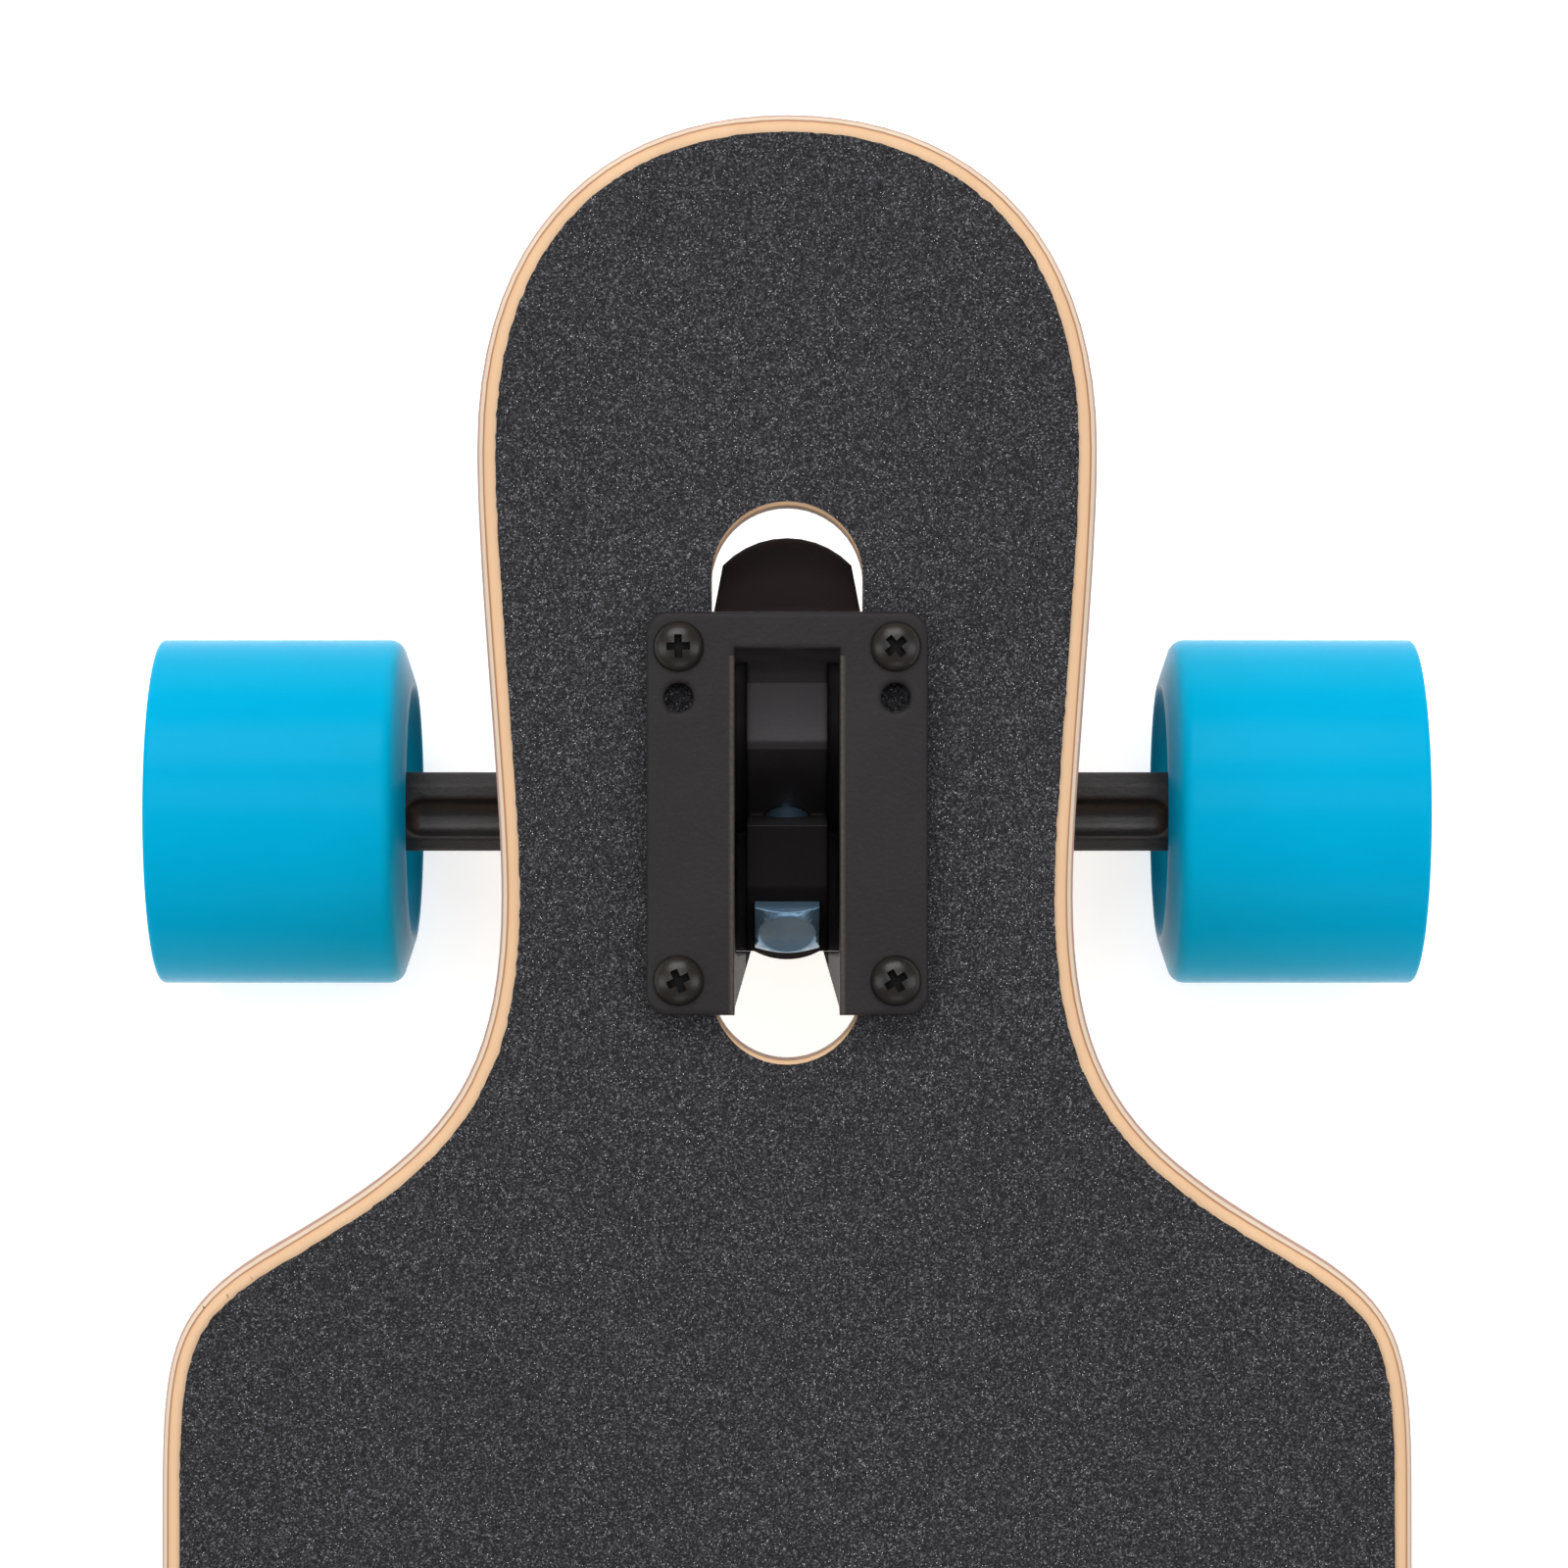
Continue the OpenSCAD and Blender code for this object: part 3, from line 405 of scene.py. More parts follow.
CASTING = painted_finish("black_casting", srgb(36, 33, 34), srgb(78, 73, 73), 0.36, 0.9 * MM, 0.25, 1.3 * MM, 0.34)
PLATE_BLACK, PLATE_WORN = srgb(43, 40, 42), srgb(78, 73, 74)
PLATE = painted_finish("baseplate", PLATE_BLACK, PLATE_WORN, 0.4, 0.9 * MM, 0.25, 1.3 * MM, 0.12, slotted=True)
MOUNT = painted_finish("mount_black", srgb(24, 24, 27), srgb(84, 86, 92), 0.42, 0.4 * MM, 0.2)
PLASTIC = painted_finish("enclosure_plastic", srgb(30, 31, 34), srgb(78, 80, 84), 0.5, 0.8 * MM, 0.2)
GLAND = painted_finish("gland_plastic", srgb(26, 27, 30), srgb(72, 74, 78), 0.4, 0.5 * MM, 0.15)
GASKET = painted_finish("gasket_rubber", srgb(20, 20, 21), srgb(60, 60, 60), 0.75, 0.6 * MM, 0.2)
PIVOT = painted_finish("pivot_cup", srgb(34, 34, 36), srgb(70, 70, 70), 0.6, 0.5 * MM, 0.15)
SLEEVE = painted_finish("lead_sleeve", srgb(16, 16, 18), srgb(60, 60, 64), 0.55, 0.4 * MM, 0.2)
BELT = painted_finish("belt_rubber", srgb(20, 20, 21), srgb(64, 62, 60), 0.7, 0.35 * MM, 0.35)
SCREW = painted_finish("black_screw", srgb(25, 20, 17), srgb(84, 76, 70), 0.34, 0.5 * MM, 0.2, shine=0.35)
print("painted finishes ready")

# %% Bare and plated metal
def metal_finish(name, colour, second, rough, streak=(1, 1, 1), size=0.6 * MM, depth=0.01 * MM, metallic=1.0):
    """Metal with fine tool marks, stretched along an axis by a small number in streak."""
    f = Finish(name)
    marks = f.mottle(size, 3.0, at=f.scaled(*streak))
    stain = f.mottle(9 * MM, 3.0)
    return f.set(
        Base_Color=f.mix((stain * 0.8 + marks * 0.2).held(), colour, second),
        Metallic=metallic,
        Roughness=rough + (stain - 0.5) * 0.12 + (marks - 0.5) * 0.1,
        Normal=f.bump(marks, depth, 0.7),
    )


ZINC_PALE, ZINC_BLUE = srgb(150, 178, 198), srgb(62, 106, 142)
ZINC = metal_finish("zinc", ZINC_PALE, ZINC_BLUE, 0.17, size=0.35 * MM, depth=0.03 * MM, metallic=0.82)
STEEL = metal_finish("bearing_steel", srgb(196, 196, 200), srgb(168, 170, 176), 0.24, (0.05, 1, 1))
ALUMINIUM = metal_finish("pulley_aluminium", srgb(62, 62, 66), srgb(44, 44, 48), 0.34, (1, 0.2, 0.2))
PULLEY_STEEL = metal_finish("motor_pulley_steel", srgb(176, 176, 180), srgb(140, 140, 146), 0.28, (1, 0.2, 0.2))
CAN = metal_finish("motor_can", srgb(40, 40, 43), srgb(28, 28, 31), 0.3, (0.05, 1, 1))
BRIGHT = metal_finish("bright_metal", srgb(206, 206, 210), srgb(176, 178, 182), 0.2, (1, 1, 1))
SINK = metal_finish("heat_sink", srgb(150, 152, 158), srgb(120, 122, 128), 0.4, (1, 0.05, 1))
print("metal finishes ready")

# %% [markdown]
# ## Urethane
# The wheels are cast in a glossy cyan urethane. It is slightly clear, so light goes a little way in and comes out
# coloured, which the subsurface setting gives. The tread carries faint marks from turning along its width, and the
# colour drifts slightly along the wheel. The face that is turned to the truck is painted a darker blue as shade.

# %% Urethane finish
WHEEL_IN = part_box("wheel_front_right")[0].x


def urethane_finish():
    f = Finish("wheel_urethane")
    lines = f.mottle(1.4 * MM, 3.0, at=f.scaled(0.12, 1, 1))
    cloud = f.mottle(24 * MM, 3.0)
    shade = ((cloud - 0.4) * 0.9 + (lines - 0.5) * 0.5).held()
    tread = f.mix(shade, srgb(0, 168, 212), srgb(0, 176, 221))
    # Painted shade: the face turned to the truck, tucked between wheel and truck, is painted a darker blue.
    across = f.part(0).maths("ABSOLUTE")
    inwards = across.between(WHEEL_IN + 4 * MM, WHEEL_IN)
    return f.set(
        Base_Color=f.mix(inwards * 0.85, tread, srgb(0, 96, 130)),
        Roughness=0.2 + cloud * 0.08 + (lines - 0.5) * 0.08,
        Specular_IOR_Level=0.03,
        Subsurface_Weight=0.1,
        Subsurface_Radius=(0.0002, 0.004, 0.006),
        Subsurface_Scale=1.0,
        Normal=f.bump(lines, 0.05 * MM, 0.35),
    )


URETHANE = urethane_finish()


def plain_plastic(name, colour, second, rough):
    """Moulded plastic in a clear colour, with slow drift and a fine skin."""
    f = Finish(name)
    cloud = f.mottle(12 * MM, 3.0)
    skin = f.mottle(0.5 * MM, 2.0)
    return f.set(
        Base_Color=f.mix((cloud * 0.7).held(), colour, second),
        Roughness=rough + (cloud - 0.5) * 0.12,
        Normal=f.bump(skin, 0.03 * MM, 0.5),
    )


CORE = plain_plastic("wheel_core", srgb(222, 224, 226), srgb(196, 200, 206), 0.35)
BUSHING = plain_plastic("bushing", srgb(26, 104, 176), srgb(18, 88, 156), 0.35)
CELL = plain_plastic("cell_wrap", srgb(38, 120, 190), srgb(24, 100, 170), 0.3)
COPPER = metal_finish("stator", srgb(196, 112, 62), srgb(150, 78, 40), 0.35, (1, 1, 1), 0.9 * MM, 0.2 * MM)
FINISH_OF = {
    "black_screw": SCREW,
    "bearing_steel": STEEL,
    "bushing": BUSHING,
    "pivot_cup": PIVOT,
    "wheel_core": CORE,
    "pulley_aluminium": ALUMINIUM,
    "motor_pulley_steel": PULLEY_STEEL,
    "belt_rubber": BELT,
    "mount_black": MOUNT,
    "stator": COPPER,
    "motor_can": CAN,
    "gland_plastic": GLAND,
    "enclosure_plastic": PLASTIC,
    "gasket_rubber": GASKET,
    "cell_wrap": CELL,
    "heat_sink": SINK,
    "bright_metal": BRIGHT,
    "zinc": ZINC,
    "black_casting": CASTING,
}
print(len(FINISH_OF), "finishes for the slots of the working model")

# %% [markdown]
# ## Studio
# A plain white floor, an even pale sky and five soft boxes. The one beyond the nose is the strongest, so the wheels
# are brightest on that side and fall off towards the tail. The floor glows slightly, which keeps shadows faint.

# %% Floor, sky and lamps
scene.view_settings.view_transform = "Standard"


def floor_finish():
    f = Finish("studio_floor")
    return f.set(
        Base_Color=srgb(250, 250, 250),
        Roughness=0.9,
        Specular_IOR_Level=0.1,
        Emission_Color=srgb(255, 255, 255),
        Emission_Strength=0.55,
    )


def flat_mesh(name, corners):
    mesh = bpy.data.meshes.new(name)
    mesh.from_pydata(corners, [], [tuple(range(len(corners)))])
    piece = bpy.data.objects.new(name, mesh)
    scene.collection.objects.link(piece)
    return piece


floor = flat_mesh("studio_floor", [(-6, -6, 0), (6, -6, 0), (6, 6, 0), (-6, 6, 0)])
floor.data.materials.append(floor_finish())

world = bpy.data.worlds.new("studio")
world.use_nodes = True
world.node_tree.nodes["Background"].inputs["Color"].default_value = (1, 1, 1, 1)
world.node_tree.nodes["Background"].inputs["Strength"].default_value = 0.29
scene.world = world


def soft_box(name, where, aim, size, power):
    """A square area lamp at a place, turned to face another."""
    lamp = bpy.data.lights.new(name, "AREA")
    lamp.shape = "RECTANGLE"
    lamp.size, lamp.size_y = size
    lamp.energy = power
    box = bpy.data.objects.new(name, lamp)
    box.location = where
    box.rotation_euler = (Vector(aim) - Vector(where)).to_track_quat("-Z", "Y").to_euler()
    scene.collection.objects.link(box)


soft_box("nose_box", (-0.3, 2.5, 2.1), (0, 0.2, 0), (2.4, 1.4), 46)
soft_box("top_box", (0, 0.82, 2.3), (0, 0.5, 0), (2.0, 0.72), 13)
soft_box("left_box", (-2.2, 0.1, 1.7), (0, 0.1, 0), (1.3, 1.8), 16)
soft_box("right_box", (2.2, 0.1, 1.7), (0, 0.1, 0), (1.3, 1.8), 16)
soft_box("tail_box", (0.3, -2.4, 1.8), (0, -0.2, 0), (1.8, 1.0), 7)

# %% [markdown]
# ## Working with meshes
# The working model's solids have crisp, sharp corners. A real casting or moulding never has those, and an edge only
# catches light if it is rounded. So the visible parts are copied, their loose triangles merged back into whole
# faces, and their edges rolled over with a Bevel modifier. Turned parts are lathed from a finer profile instead.

# %% Mesh helpers
BODY = {node: body for body, nodes in frame["record"]["behaviour"]["bodies"].items() for node in nodes}
SLOT = {node: solid.data.materials[0].name for node, solid in frame["nodes"].items()}


def whole_faces(node):
    """A part's mesh with its triangles merged into whole flat faces, in a bmesh."""
    work = bmesh.new()
    work.from_mesh(frame["nodes"][node].data)
    bmesh.ops.remove_doubles(work, verts=work.verts, dist=1e-6)
    bmesh.ops.dissolve_limit(work, angle_limit=0.01, verts=work.verts, edges=work.edges)
    return work


def bevel_weights(work):
    """The layer that holds how much of the bevel's width each edge gets."""
    layers = work.edges.layers.float
    return layers.get("bevel_weight_edge") or layers.new("bevel_weight_edge")


def new_piece(name, work, finish):
    """A new object from a bmesh, with one finish."""
    mesh = bpy.data.meshes.new(name)
    work.to_mesh(mesh)
    work.free()
    mesh.materials.clear()
    mesh.materials.append(finish)
    for polygon in mesh.polygons:
        polygon.material_index = 0
    piece = bpy.data.objects.new(name, mesh)
    scene.collection.objects.link(piece)
    return piece


def settle(piece):
    """Turns a piece and its modifiers into one plain mesh."""
    bpy.context.view_layer.update()
    mesh = bpy.data.meshes.new_from_object(piece.evaluated_get(bpy.context.evaluated_depsgraph_get()))
    piece.modifiers.clear()
    piece.data = mesh
    return piece


def smooth(piece, degrees=35):
    """Smooth shading, with a crease wherever two faces meet at more than an angle."""
    mesh = piece.data
    mesh.polygons.foreach_set("use_smooth", [True] * len(mesh.polygons))
    mesh.set_sharp_from_angle(angle=math.radians(degrees))
    return piece


def roll_edges(piece, width, steps=3, degrees=30, by_weight=False):
    """Rolls the edges over. Weighted normals then keep the flat faces flat and put all the turn in the edge.
    By weight, only the edges with a bevel weight are rolled at full width, and the rest stay crisp."""
    smooth(piece, degrees if by_weight else 180)
    if by_weight:
        weights = piece.data.attributes["bevel_weight_edge"].data
        for edge in piece.data.edges:
            edge.use_edge_sharp = edge.use_edge_sharp and weights[edge.index].value == 0
    bevel = piece.modifiers.new("rolled_edges", "BEVEL")
    bevel.width = width
    bevel.segments = steps
    bevel.limit_method = "WEIGHT" if by_weight else "ANGLE"
    bevel.angle_limit = math.radians(degrees)
    bevel.use_clamp_overlap = not by_weight
    bevel.harden_normals = False
    piece.modifiers.new("flat_faces", "WEIGHTED_NORMAL").keep_sharp = True
    return settle(piece)


def stand_in(piece, *nodes):
    """Puts a finished piece in place of parts of the working model."""
    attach(piece, BODY[nodes[0]])
    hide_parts(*nodes)
    return piece


def rounded_copy(node, finish, width, steps=3, degrees=30):
    piece = new_piece(node + "_rounded", whole_faces(node), finish)
    roll_edges(piece, width, steps, degrees)
    stand_in(piece, node)
    return piece


def lathe(profile, steps=96):
    """A closed ring turned about the X axis from (x, radius) points, in metres, in a bmesh."""
    work = bmesh.new()
    rings = []
    for i in range(steps):
        a = 2 * math.pi * i / steps
        rings.append([work.verts.new((x, r * math.cos(a), r * math.sin(a))) for x, r in profile])
    count = len(profile)
    for i in range(steps):
        here, after = rings[i], rings[(i + 1) % steps]
        for k in range(count):
            n = (k + 1) % count
            work.faces.new((here[k], here[n], after[n], after[k]))
    bmesh.ops.remove_doubles(work, verts=work.verts, dist=1e-7)
    bmesh.ops.recalc_face_normals(work, faces=work.faces)
    return work


def flats(work, sides, across):
    """Pares a lathed piece down to flat sides, that far apart, like the flats of a nut."""
    for vert in work.verts:
        angle = math.atan2(vert.co.z, vert.co.y)
        nearest = round(angle / (2 * math.pi / sides)) * (2 * math.pi / sides)
        limit = across / 2 / math.cos(angle - nearest)
        radius = math.hypot(vert.co.y, vert.co.z)
        if radius > limit:
            vert.co.y *= limit / radius
            vert.co.z *= limit / radius
    return work


def islands(node):
    """The box of each separate solid in a part, as (low, high)."""
    work = whole_faces(node)
    left = set(work.verts)
    boxes = []
    while left:
        queue = [left.pop()]
        found = []
        while queue:
            vert = queue.pop()
            found.append(vert.co.copy())
            for edge in vert.link_edges:
                other = edge.other_vert(vert)
                if other in left:
                    left.remove(other)
                    queue.append(other)
        low = Vector(min(co[i] for co in found) for i in range(3))
        high = Vector(max(co[i] for co in found) for i in range(3))
        boxes.append((low, high))
    work.free()
    return sorted(boxes, key=lambda box: tuple(box[0]))


# %% [markdown]
# ## The deck
# Its top and bottom edges are routed round with a cutter of 3.5 mm, and the truck cutouts are only eased. A bevel
# weight on each edge tells the Bevel modifier which of the two a corner gets.

# %% Deck
TRUCK_Y = front_axle.y
CUTOUT_SHIFT = 5.8 * MM
CUTOUT_STRAIGHT = 39.4 * MM


def near_cutout(point):
    return abs(point.x) < 24 * MM and abs(abs(point.y) - TRUCK_Y) < 66 * MM


work = whole_faces("deck")
for vert in work.verts:
    inwards = abs(vert.co.y) - TRUCK_Y - CUTOUT_SHIFT
    if near_cutout(vert.co) and abs(inwards) > CUTOUT_STRAIGHT:
        pull = math.copysign(min(1.0, (abs(inwards) - CUTOUT_STRAIGHT) / (4 * MM)), inwards)
        vert.co.y -= pull * 0.9 * MM * math.copysign(1, vert.co.y)
weights = bevel_weights(work)
routed = 0
for edge in work.edges:
    if len(edge.link_faces) == 2 and edge.calc_face_angle() > math.radians(60):
        flat = abs(edge.verts[0].co.z - edge.verts[1].co.z) < 3 * MM
        inside = near_cutout((edge.verts[0].co + edge.verts[1].co) / 2)
        level = any(abs(face.normal.z) > 0.7 for face in edge.link_faces)
        if flat and level:
            edge[weights] = 0.3 if inside else 1.0
            routed += 1
deck = new_piece("deck_plies", work, WOOD)
roll_edges(deck, 3.4 * MM, 5, by_weight=True)
stand_in(deck, "deck")
print("deck edges eased:", routed, "faces:", len(deck.data.polygons))

# %% [markdown]
# ## Grip tape with a cut edge
# The tape is trimmed with a blade and sanded off at the edge, so its outline wanders by a few tenths of a
# millimetre. The outer edges are cut into short lengths, and noise moves each new corner a little inwards.

# %% Grip tape
work = whole_faces("grip_tape")
rim = []
for edge in work.edges:
    centre = (edge.verts[0].co + edge.verts[1].co) / 2
    wall = any(abs(face.normal.z) < 0.5 for face in edge.link_faces)
    level = any(abs(face.normal.z) > 0.5 for face in edge.link_faces)
    if wall and level and edge.calc_length() > 1.5 * MM:
        rim.append(edge)
for edge in rim:
    cuts = min(60, int(edge.calc_length() / (1.1 * MM)))
    if cuts > 0:
        bmesh.ops.subdivide_edges(work, edges=[edge], cuts=cuts)
moved = 0
for vert in work.verts:
    walls = [face.normal for face in vert.link_faces if abs(face.normal.z) < 0.5]
    if walls and not near_cutout(vert.co):
        out = sum(walls, Vector()).normalized()
        spot = Vector((vert.co.x, vert.co.y, 0)) / (1.6 * MM)
        amount = 0.5 + 0.5 * noise.noise(spot) + 0.35 * noise.noise(spot * 3.1)
        vert.co -= out * max(0.0, amount) * 0.45 * MM
        moved += 1
grip = new_piece("grip_sheet", work, GRIP)
stand_in(grip, "grip_tape")
print("grip tape corners moved:", moved)

# %% [markdown]
# ## Wheels
# Each wheel is poured round a plastic core. Its tread is flat with rounded shoulders, and a lip on each side sits a
# little proud of the core. A lathe turns the section about the axle, so every ring is exact and closed.

# %% Wheels
wheel_low, wheel_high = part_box("wheel_front_right")
WHEEL_OUT = wheel_high.x
WHEEL_R = (wheel_high.z - wheel_low.z) / 2
core_low, core_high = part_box("core_front_right")
CORE_R = (core_high.z - core_low.z) / 2
print("wheel", round(2 * WHEEL_R / MM, 1), "x", round((WHEEL_OUT - WHEEL_IN) / MM, 1), "mm")


def corner(x, r, radius, start, end, steps=7):
    """Points round a corner whose arc has its centre at (x, r)."""
    turn = [math.radians(start + (end - start) * i / steps) for i in range(steps + 1)]
    return [(x + radius * math.cos(a), r + radius * math.sin(a)) for a in turn]


def wheel_section():
    """The urethane's section as (x, radius) points, for a wheel on the right."""
    lip = 1.4 * MM
    inner = 3.2 * MM
    outer = 1.0 * MM
    section = [(core_low.x, CORE_R)]
    section += [(WHEEL_IN + 3 * MM, CORE_R + 1.6 * MM)]
    section += corner(WHEEL_IN + lip, 26.4 * MM, lip, 240, 170, 5)
    section += [(WHEEL_IN + 0.5 * MM, WHEEL_R - inner - 3.6 * MM)]
    section += corner(WHEEL_IN + 1.8 * MM + inner, WHEEL_R - inner, inner, 150, 90)
    section += corner(WHEEL_OUT - 0.5 * MM - outer, WHEEL_R - outer, outer, 90, 6)
    section += [(WHEEL_OUT - 0.35 * MM, WHEEL_R - outer - 1.6 * MM)]
    section += corner(WHEEL_OUT - lip, 26.4 * MM, lip, 10, -60, 5)
    section += [(WHEEL_OUT - 3 * MM, CORE_R + 1.6 * MM), (core_high.x, CORE_R)]
    return section


def place_on_axle(work, axle, side):
    """Moves a turned piece to an axle, and mirrors it for the left side."""
    if side < 0:
        bmesh.ops.scale(work, vec=(-1, 1, 1), verts=work.verts)
        bmesh.ops.reverse_faces(work, faces=work.faces)
    bmesh.ops.translate(work, vec=(0, axle.y, axle.z), verts=work.verts)


for end, axle in (("front", front_axle), ("rear", rear_axle)):
    for side, word in ((-1, "left"), (1, "right")):
        work = lathe(wheel_section(), 160)
        place_on_axle(work, axle, side)
        wheel = new_piece(f"tyre_{end}_{word}", work, URETHANE)
        smooth(wheel, 50)
        stand_in(wheel, f"wheel_{end}_{word}")
print("faces on one wheel:", len(wheel.data.polygons))

# %% [markdown]
# ## One tree for everything that repeats
# The same bolt holds the trucks eight times, and the same screw goes round the battery tub fourteen times. A
# Geometry Nodes tree puts one modelled fastener on every point of a small mesh, turns each by the angle stored on
# its point, realizes the copies and gives them their finish. The result is then kept as one plain mesh.

# %% Geometry Nodes: copies on points
class Tree:
    """A Geometry Nodes tree with named inputs."""

    def __init__(self, name, **inputs):
        self.tree = bpy.data.node_groups.new(name, "GeometryNodeTree")
        self.socket = {}
        self.tree.interface.new_socket("Geometry", in_out="INPUT", socket_type="NodeSocketGeometry")
        for label, kind in inputs.items():
            made = self.tree.interface.new_socket(label, in_out="INPUT", socket_type="NodeSocket" + kind)
            self.socket[label] = made.identifier
        self.tree.interface.new_socket("Geometry", in_out="OUTPUT", socket_type="NodeSocketGeometry")
        self.start = self.tree.nodes.new("NodeGroupInput")
        self.end = self.tree.nodes.new("NodeGroupOutput")

    def given(self, label):
        return self.start.outputs[label]

    def node(self, kind, settings=None, inputs=None, output=0):
        made = self.tree.nodes.new(kind)
        for name, value in (settings or {}).items():
            setattr(made, name, value)
        for name, value in (inputs or {}).items():
            if isinstance(value, bpy.types.NodeSocket):
                self.tree.links.new(value, made.inputs[name])
            else:
                made.inputs[name].default_value = value
        return made.outputs[output]

    def finish(self, geometry):
        """Realizes the copies, sets their material and ends the tree."""
        real = self.node("GeometryNodeRealizeInstances", inputs={0: geometry})
        done = self.node("GeometryNodeSetMaterial", inputs={0: real, "Material": self.given("Finish")})
        self.tree.links.new(done, self.end.inputs[0])
        return self

    def grow(self, piece, **values):
        """Runs the tree on an object with the given inputs, and keeps the result as a plain mesh."""
        modifier = piece.modifiers.new(self.tree.name, "NODES")
        modifier.node_group = self.tree
        for label, value in values.items():
            modifier[self.socket[label]] = value
        return settle(piece)


copies = Tree("copies_on_points", Pattern="Object", Finish="Material")
turns = copies.node("GeometryNodeInputNamedAttribute", {"data_type": "FLOAT_VECTOR"}, {"Name": "turn"})
pattern = copies.node("GeometryNodeObjectInfo", inputs={"Object": copies.given("Pattern")}, output="Geometry")
copies.finish(
    copies.node(
        "GeometryNodeInstanceOnPoints",
        inputs={
            "Points": copies.given("Geometry"),
            "Instance": pattern,
            "Rotation": copies.node("FunctionNodeEulerToRotation", inputs={0: turns}),
        },
    )
)


def repeat(name, pattern_work, places, finish, *nodes, creases=35):
    """One copy of a pattern at each (point, turn) in places, as one piece that stands in for some nodes."""
    pattern_piece = smooth(new_piece(name + "_pattern", pattern_work, finish), creases)
    points = bpy.data.meshes.new(name)
    points.from_pydata([tuple(point) for point, turn in places], [], [])
    stored = points.attributes.new("turn", "FLOAT_VECTOR", "POINT")
    for i, (point, turn) in enumerate(places):
        stored.data[i].vector = turn
    piece = bpy.data.objects.new(name, points)
    scene.collection.objects.link(piece)
    copies.grow(piece, Pattern=pattern_piece, Finish=finish)
    bpy.data.objects.remove(pattern_piece)
    return stand_in(piece, *nodes)


def upright(work):
    """Turns a lathed piece from the X axis to the Z axis."""
    bmesh.ops.rotate(work, verts=work.verts, cent=(0, 0, 0), matrix=Matrix.Rotation(math.radians(-90), 3, "Y"))
    return work


def cut(work, cutter):
    """Takes one bmesh out of another with an exact Boolean."""
    body, tool = new_piece("body", work, None), new_piece("tool", cutter, None)
    step = body.modifiers.new("cut", "BOOLEAN")
    step.object = tool
    step.solver = "EXACT"
    settle(body)
    result = bmesh.new()
    result.from_mesh(body.data)
    bpy.data.objects.remove(body)
    bpy.data.objects.remove(tool)
    return result


print("inputs of the tree:", list(copies.socket))

# %% [markdown]
# ## Truck bolts
# The bolts have black, domed heads with a cross recess that narrows as it goes down. Each is left at its own angle
# when it is tightened. The head is lathed, the cross is cut with a Boolean, and the threads below are
# rings in the same section.

# %% Truck bolts
bolts_low, bolts_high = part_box("truck_bolts")
BOLT_X = 20.65 * MM
BOLT_Y = 31.75 * MM
BOLT_HEAD = bolts_high.z - PLATE_TOP
BOLT_HEAD_R = bolts_high.x - BOLT_X


def bolt_finish():
    """The black of a screw, painted near black in the cross as shade, since the cross lies below the curve of the
    dome.
    """
    f = Finish("truck_bolt")
    across = f.part(0).maths("ABSOLUTE") - BOLT_X
    along = (f.part(1).maths("ABSOLUTE") - TRUCK_Y).maths("ABSOLUTE") - BOLT_Y
    out = (across * across + along * along) / BOLT_HEAD_R ** 2
    dome = (1 - out).maths("MAXIMUM", 0.0).maths("SQRT") * BOLT_HEAD + PLATE_TOP
    # Painted shade: the cross, sunk below the dome, is painted near black.
    cross_recess_shade = (dome - f.part(2)).between(0.2 * MM, 0.6 * MM) * (out < 0.36)
    cloud = f.mottle(5 * MM, 3.0)
    black = f.mix((cloud - 0.3).held(), srgb(24, 19, 16), srgb(48, 42, 37))
    return f.set(
        Base_Color=f.mix(cross_recess_shade, black, srgb(3, 2, 2)),
        Roughness=0.32 + cross_recess_shade * 0.5 + (cloud - 0.5) * 0.12,
        Specular_IOR_Level=0.4,
        Normal=f.bump(f.mottle(0.5 * MM, 2.0), 0.04 * MM, 0.6),
    )


BOLT = bolt_finish()


def bolt():
    turn = [math.radians(8 + 82 * i / 9) for i in range(10)]
    dome = [(BOLT_HEAD * math.sin(a), BOLT_HEAD_R * math.cos(a)) for a in turn]
    dome[-1] = (BOLT_HEAD, 0)
    low = bolts_low.z - PLATE_TOP
    shank_r = 2.4 * MM
    thread = []
    pitch = 0.8 * MM
    count = int(9 * MM / pitch)
    for i in range(count):
        thread += [(low + 0.4 * MM + i * pitch, shank_r - 0.35 * MM), (low + 0.4 * MM + (i + 0.5) * pitch, shank_r)]
    section = [(low, 0), (low, shank_r - 0.5 * MM)] + thread
    section += [(low + 10 * MM, shank_r), (0, shank_r), (0, BOLT_HEAD_R - 0.15 * MM)] + dome
    work = upright(lathe(section, 40))
    cross = bmesh.new()
    arm, half, deep = 2.5 * MM, 0.8 * MM, 2.1 * MM
    top = BOLT_HEAD + 0.5 * MM
    outline = [(arm, half), (half, half), (half, arm), (-half, arm), (-half, half), (-arm, half)]
    outline += [(-x, -y) for x, y in outline]
    upper = [cross.verts.new((x, y, top)) for x, y in outline]
    lower = [cross.verts.new((x * 0.7, y * 0.7, BOLT_HEAD - deep)) for x, y in outline]
    cross.faces.new(upper)
    cross.faces.new(list(reversed(lower)))
    for i in range(len(outline)):
        n = (i + 1) % len(outline)
        cross.faces.new((lower[i], lower[n], upper[n], upper[i]))
    bmesh.ops.recalc_face_normals(cross, faces=cross.faces)
    return cut(work, cross)


BOLT_TURNS = {(-1, 1): 2, (1, 1): 40, (-1, -1): 24, (1, -1): 31}
places = []
for end in (1, -1):
    for (side, row), angle in BOLT_TURNS.items():
        at = Vector((side * BOLT_X, end * (TRUCK_Y + row * BOLT_Y), PLATE_TOP))
        places.append((at, (0, 0, math.radians(angle * end + 7 * (end < 0)))))
bolts = repeat("truck_bolt_set", bolt(), places, BOLT, "truck_bolts", creases=40)
print("bolts:", len(places), "faces:", len(bolts.data.polygons))

# %% [markdown]
# ## Trucks
# The castings are copies of the working parts with rolled edges. On a baseplate only the rims of the top face are
# rolled, at full width, and the finish softens the edges deep in the slot.

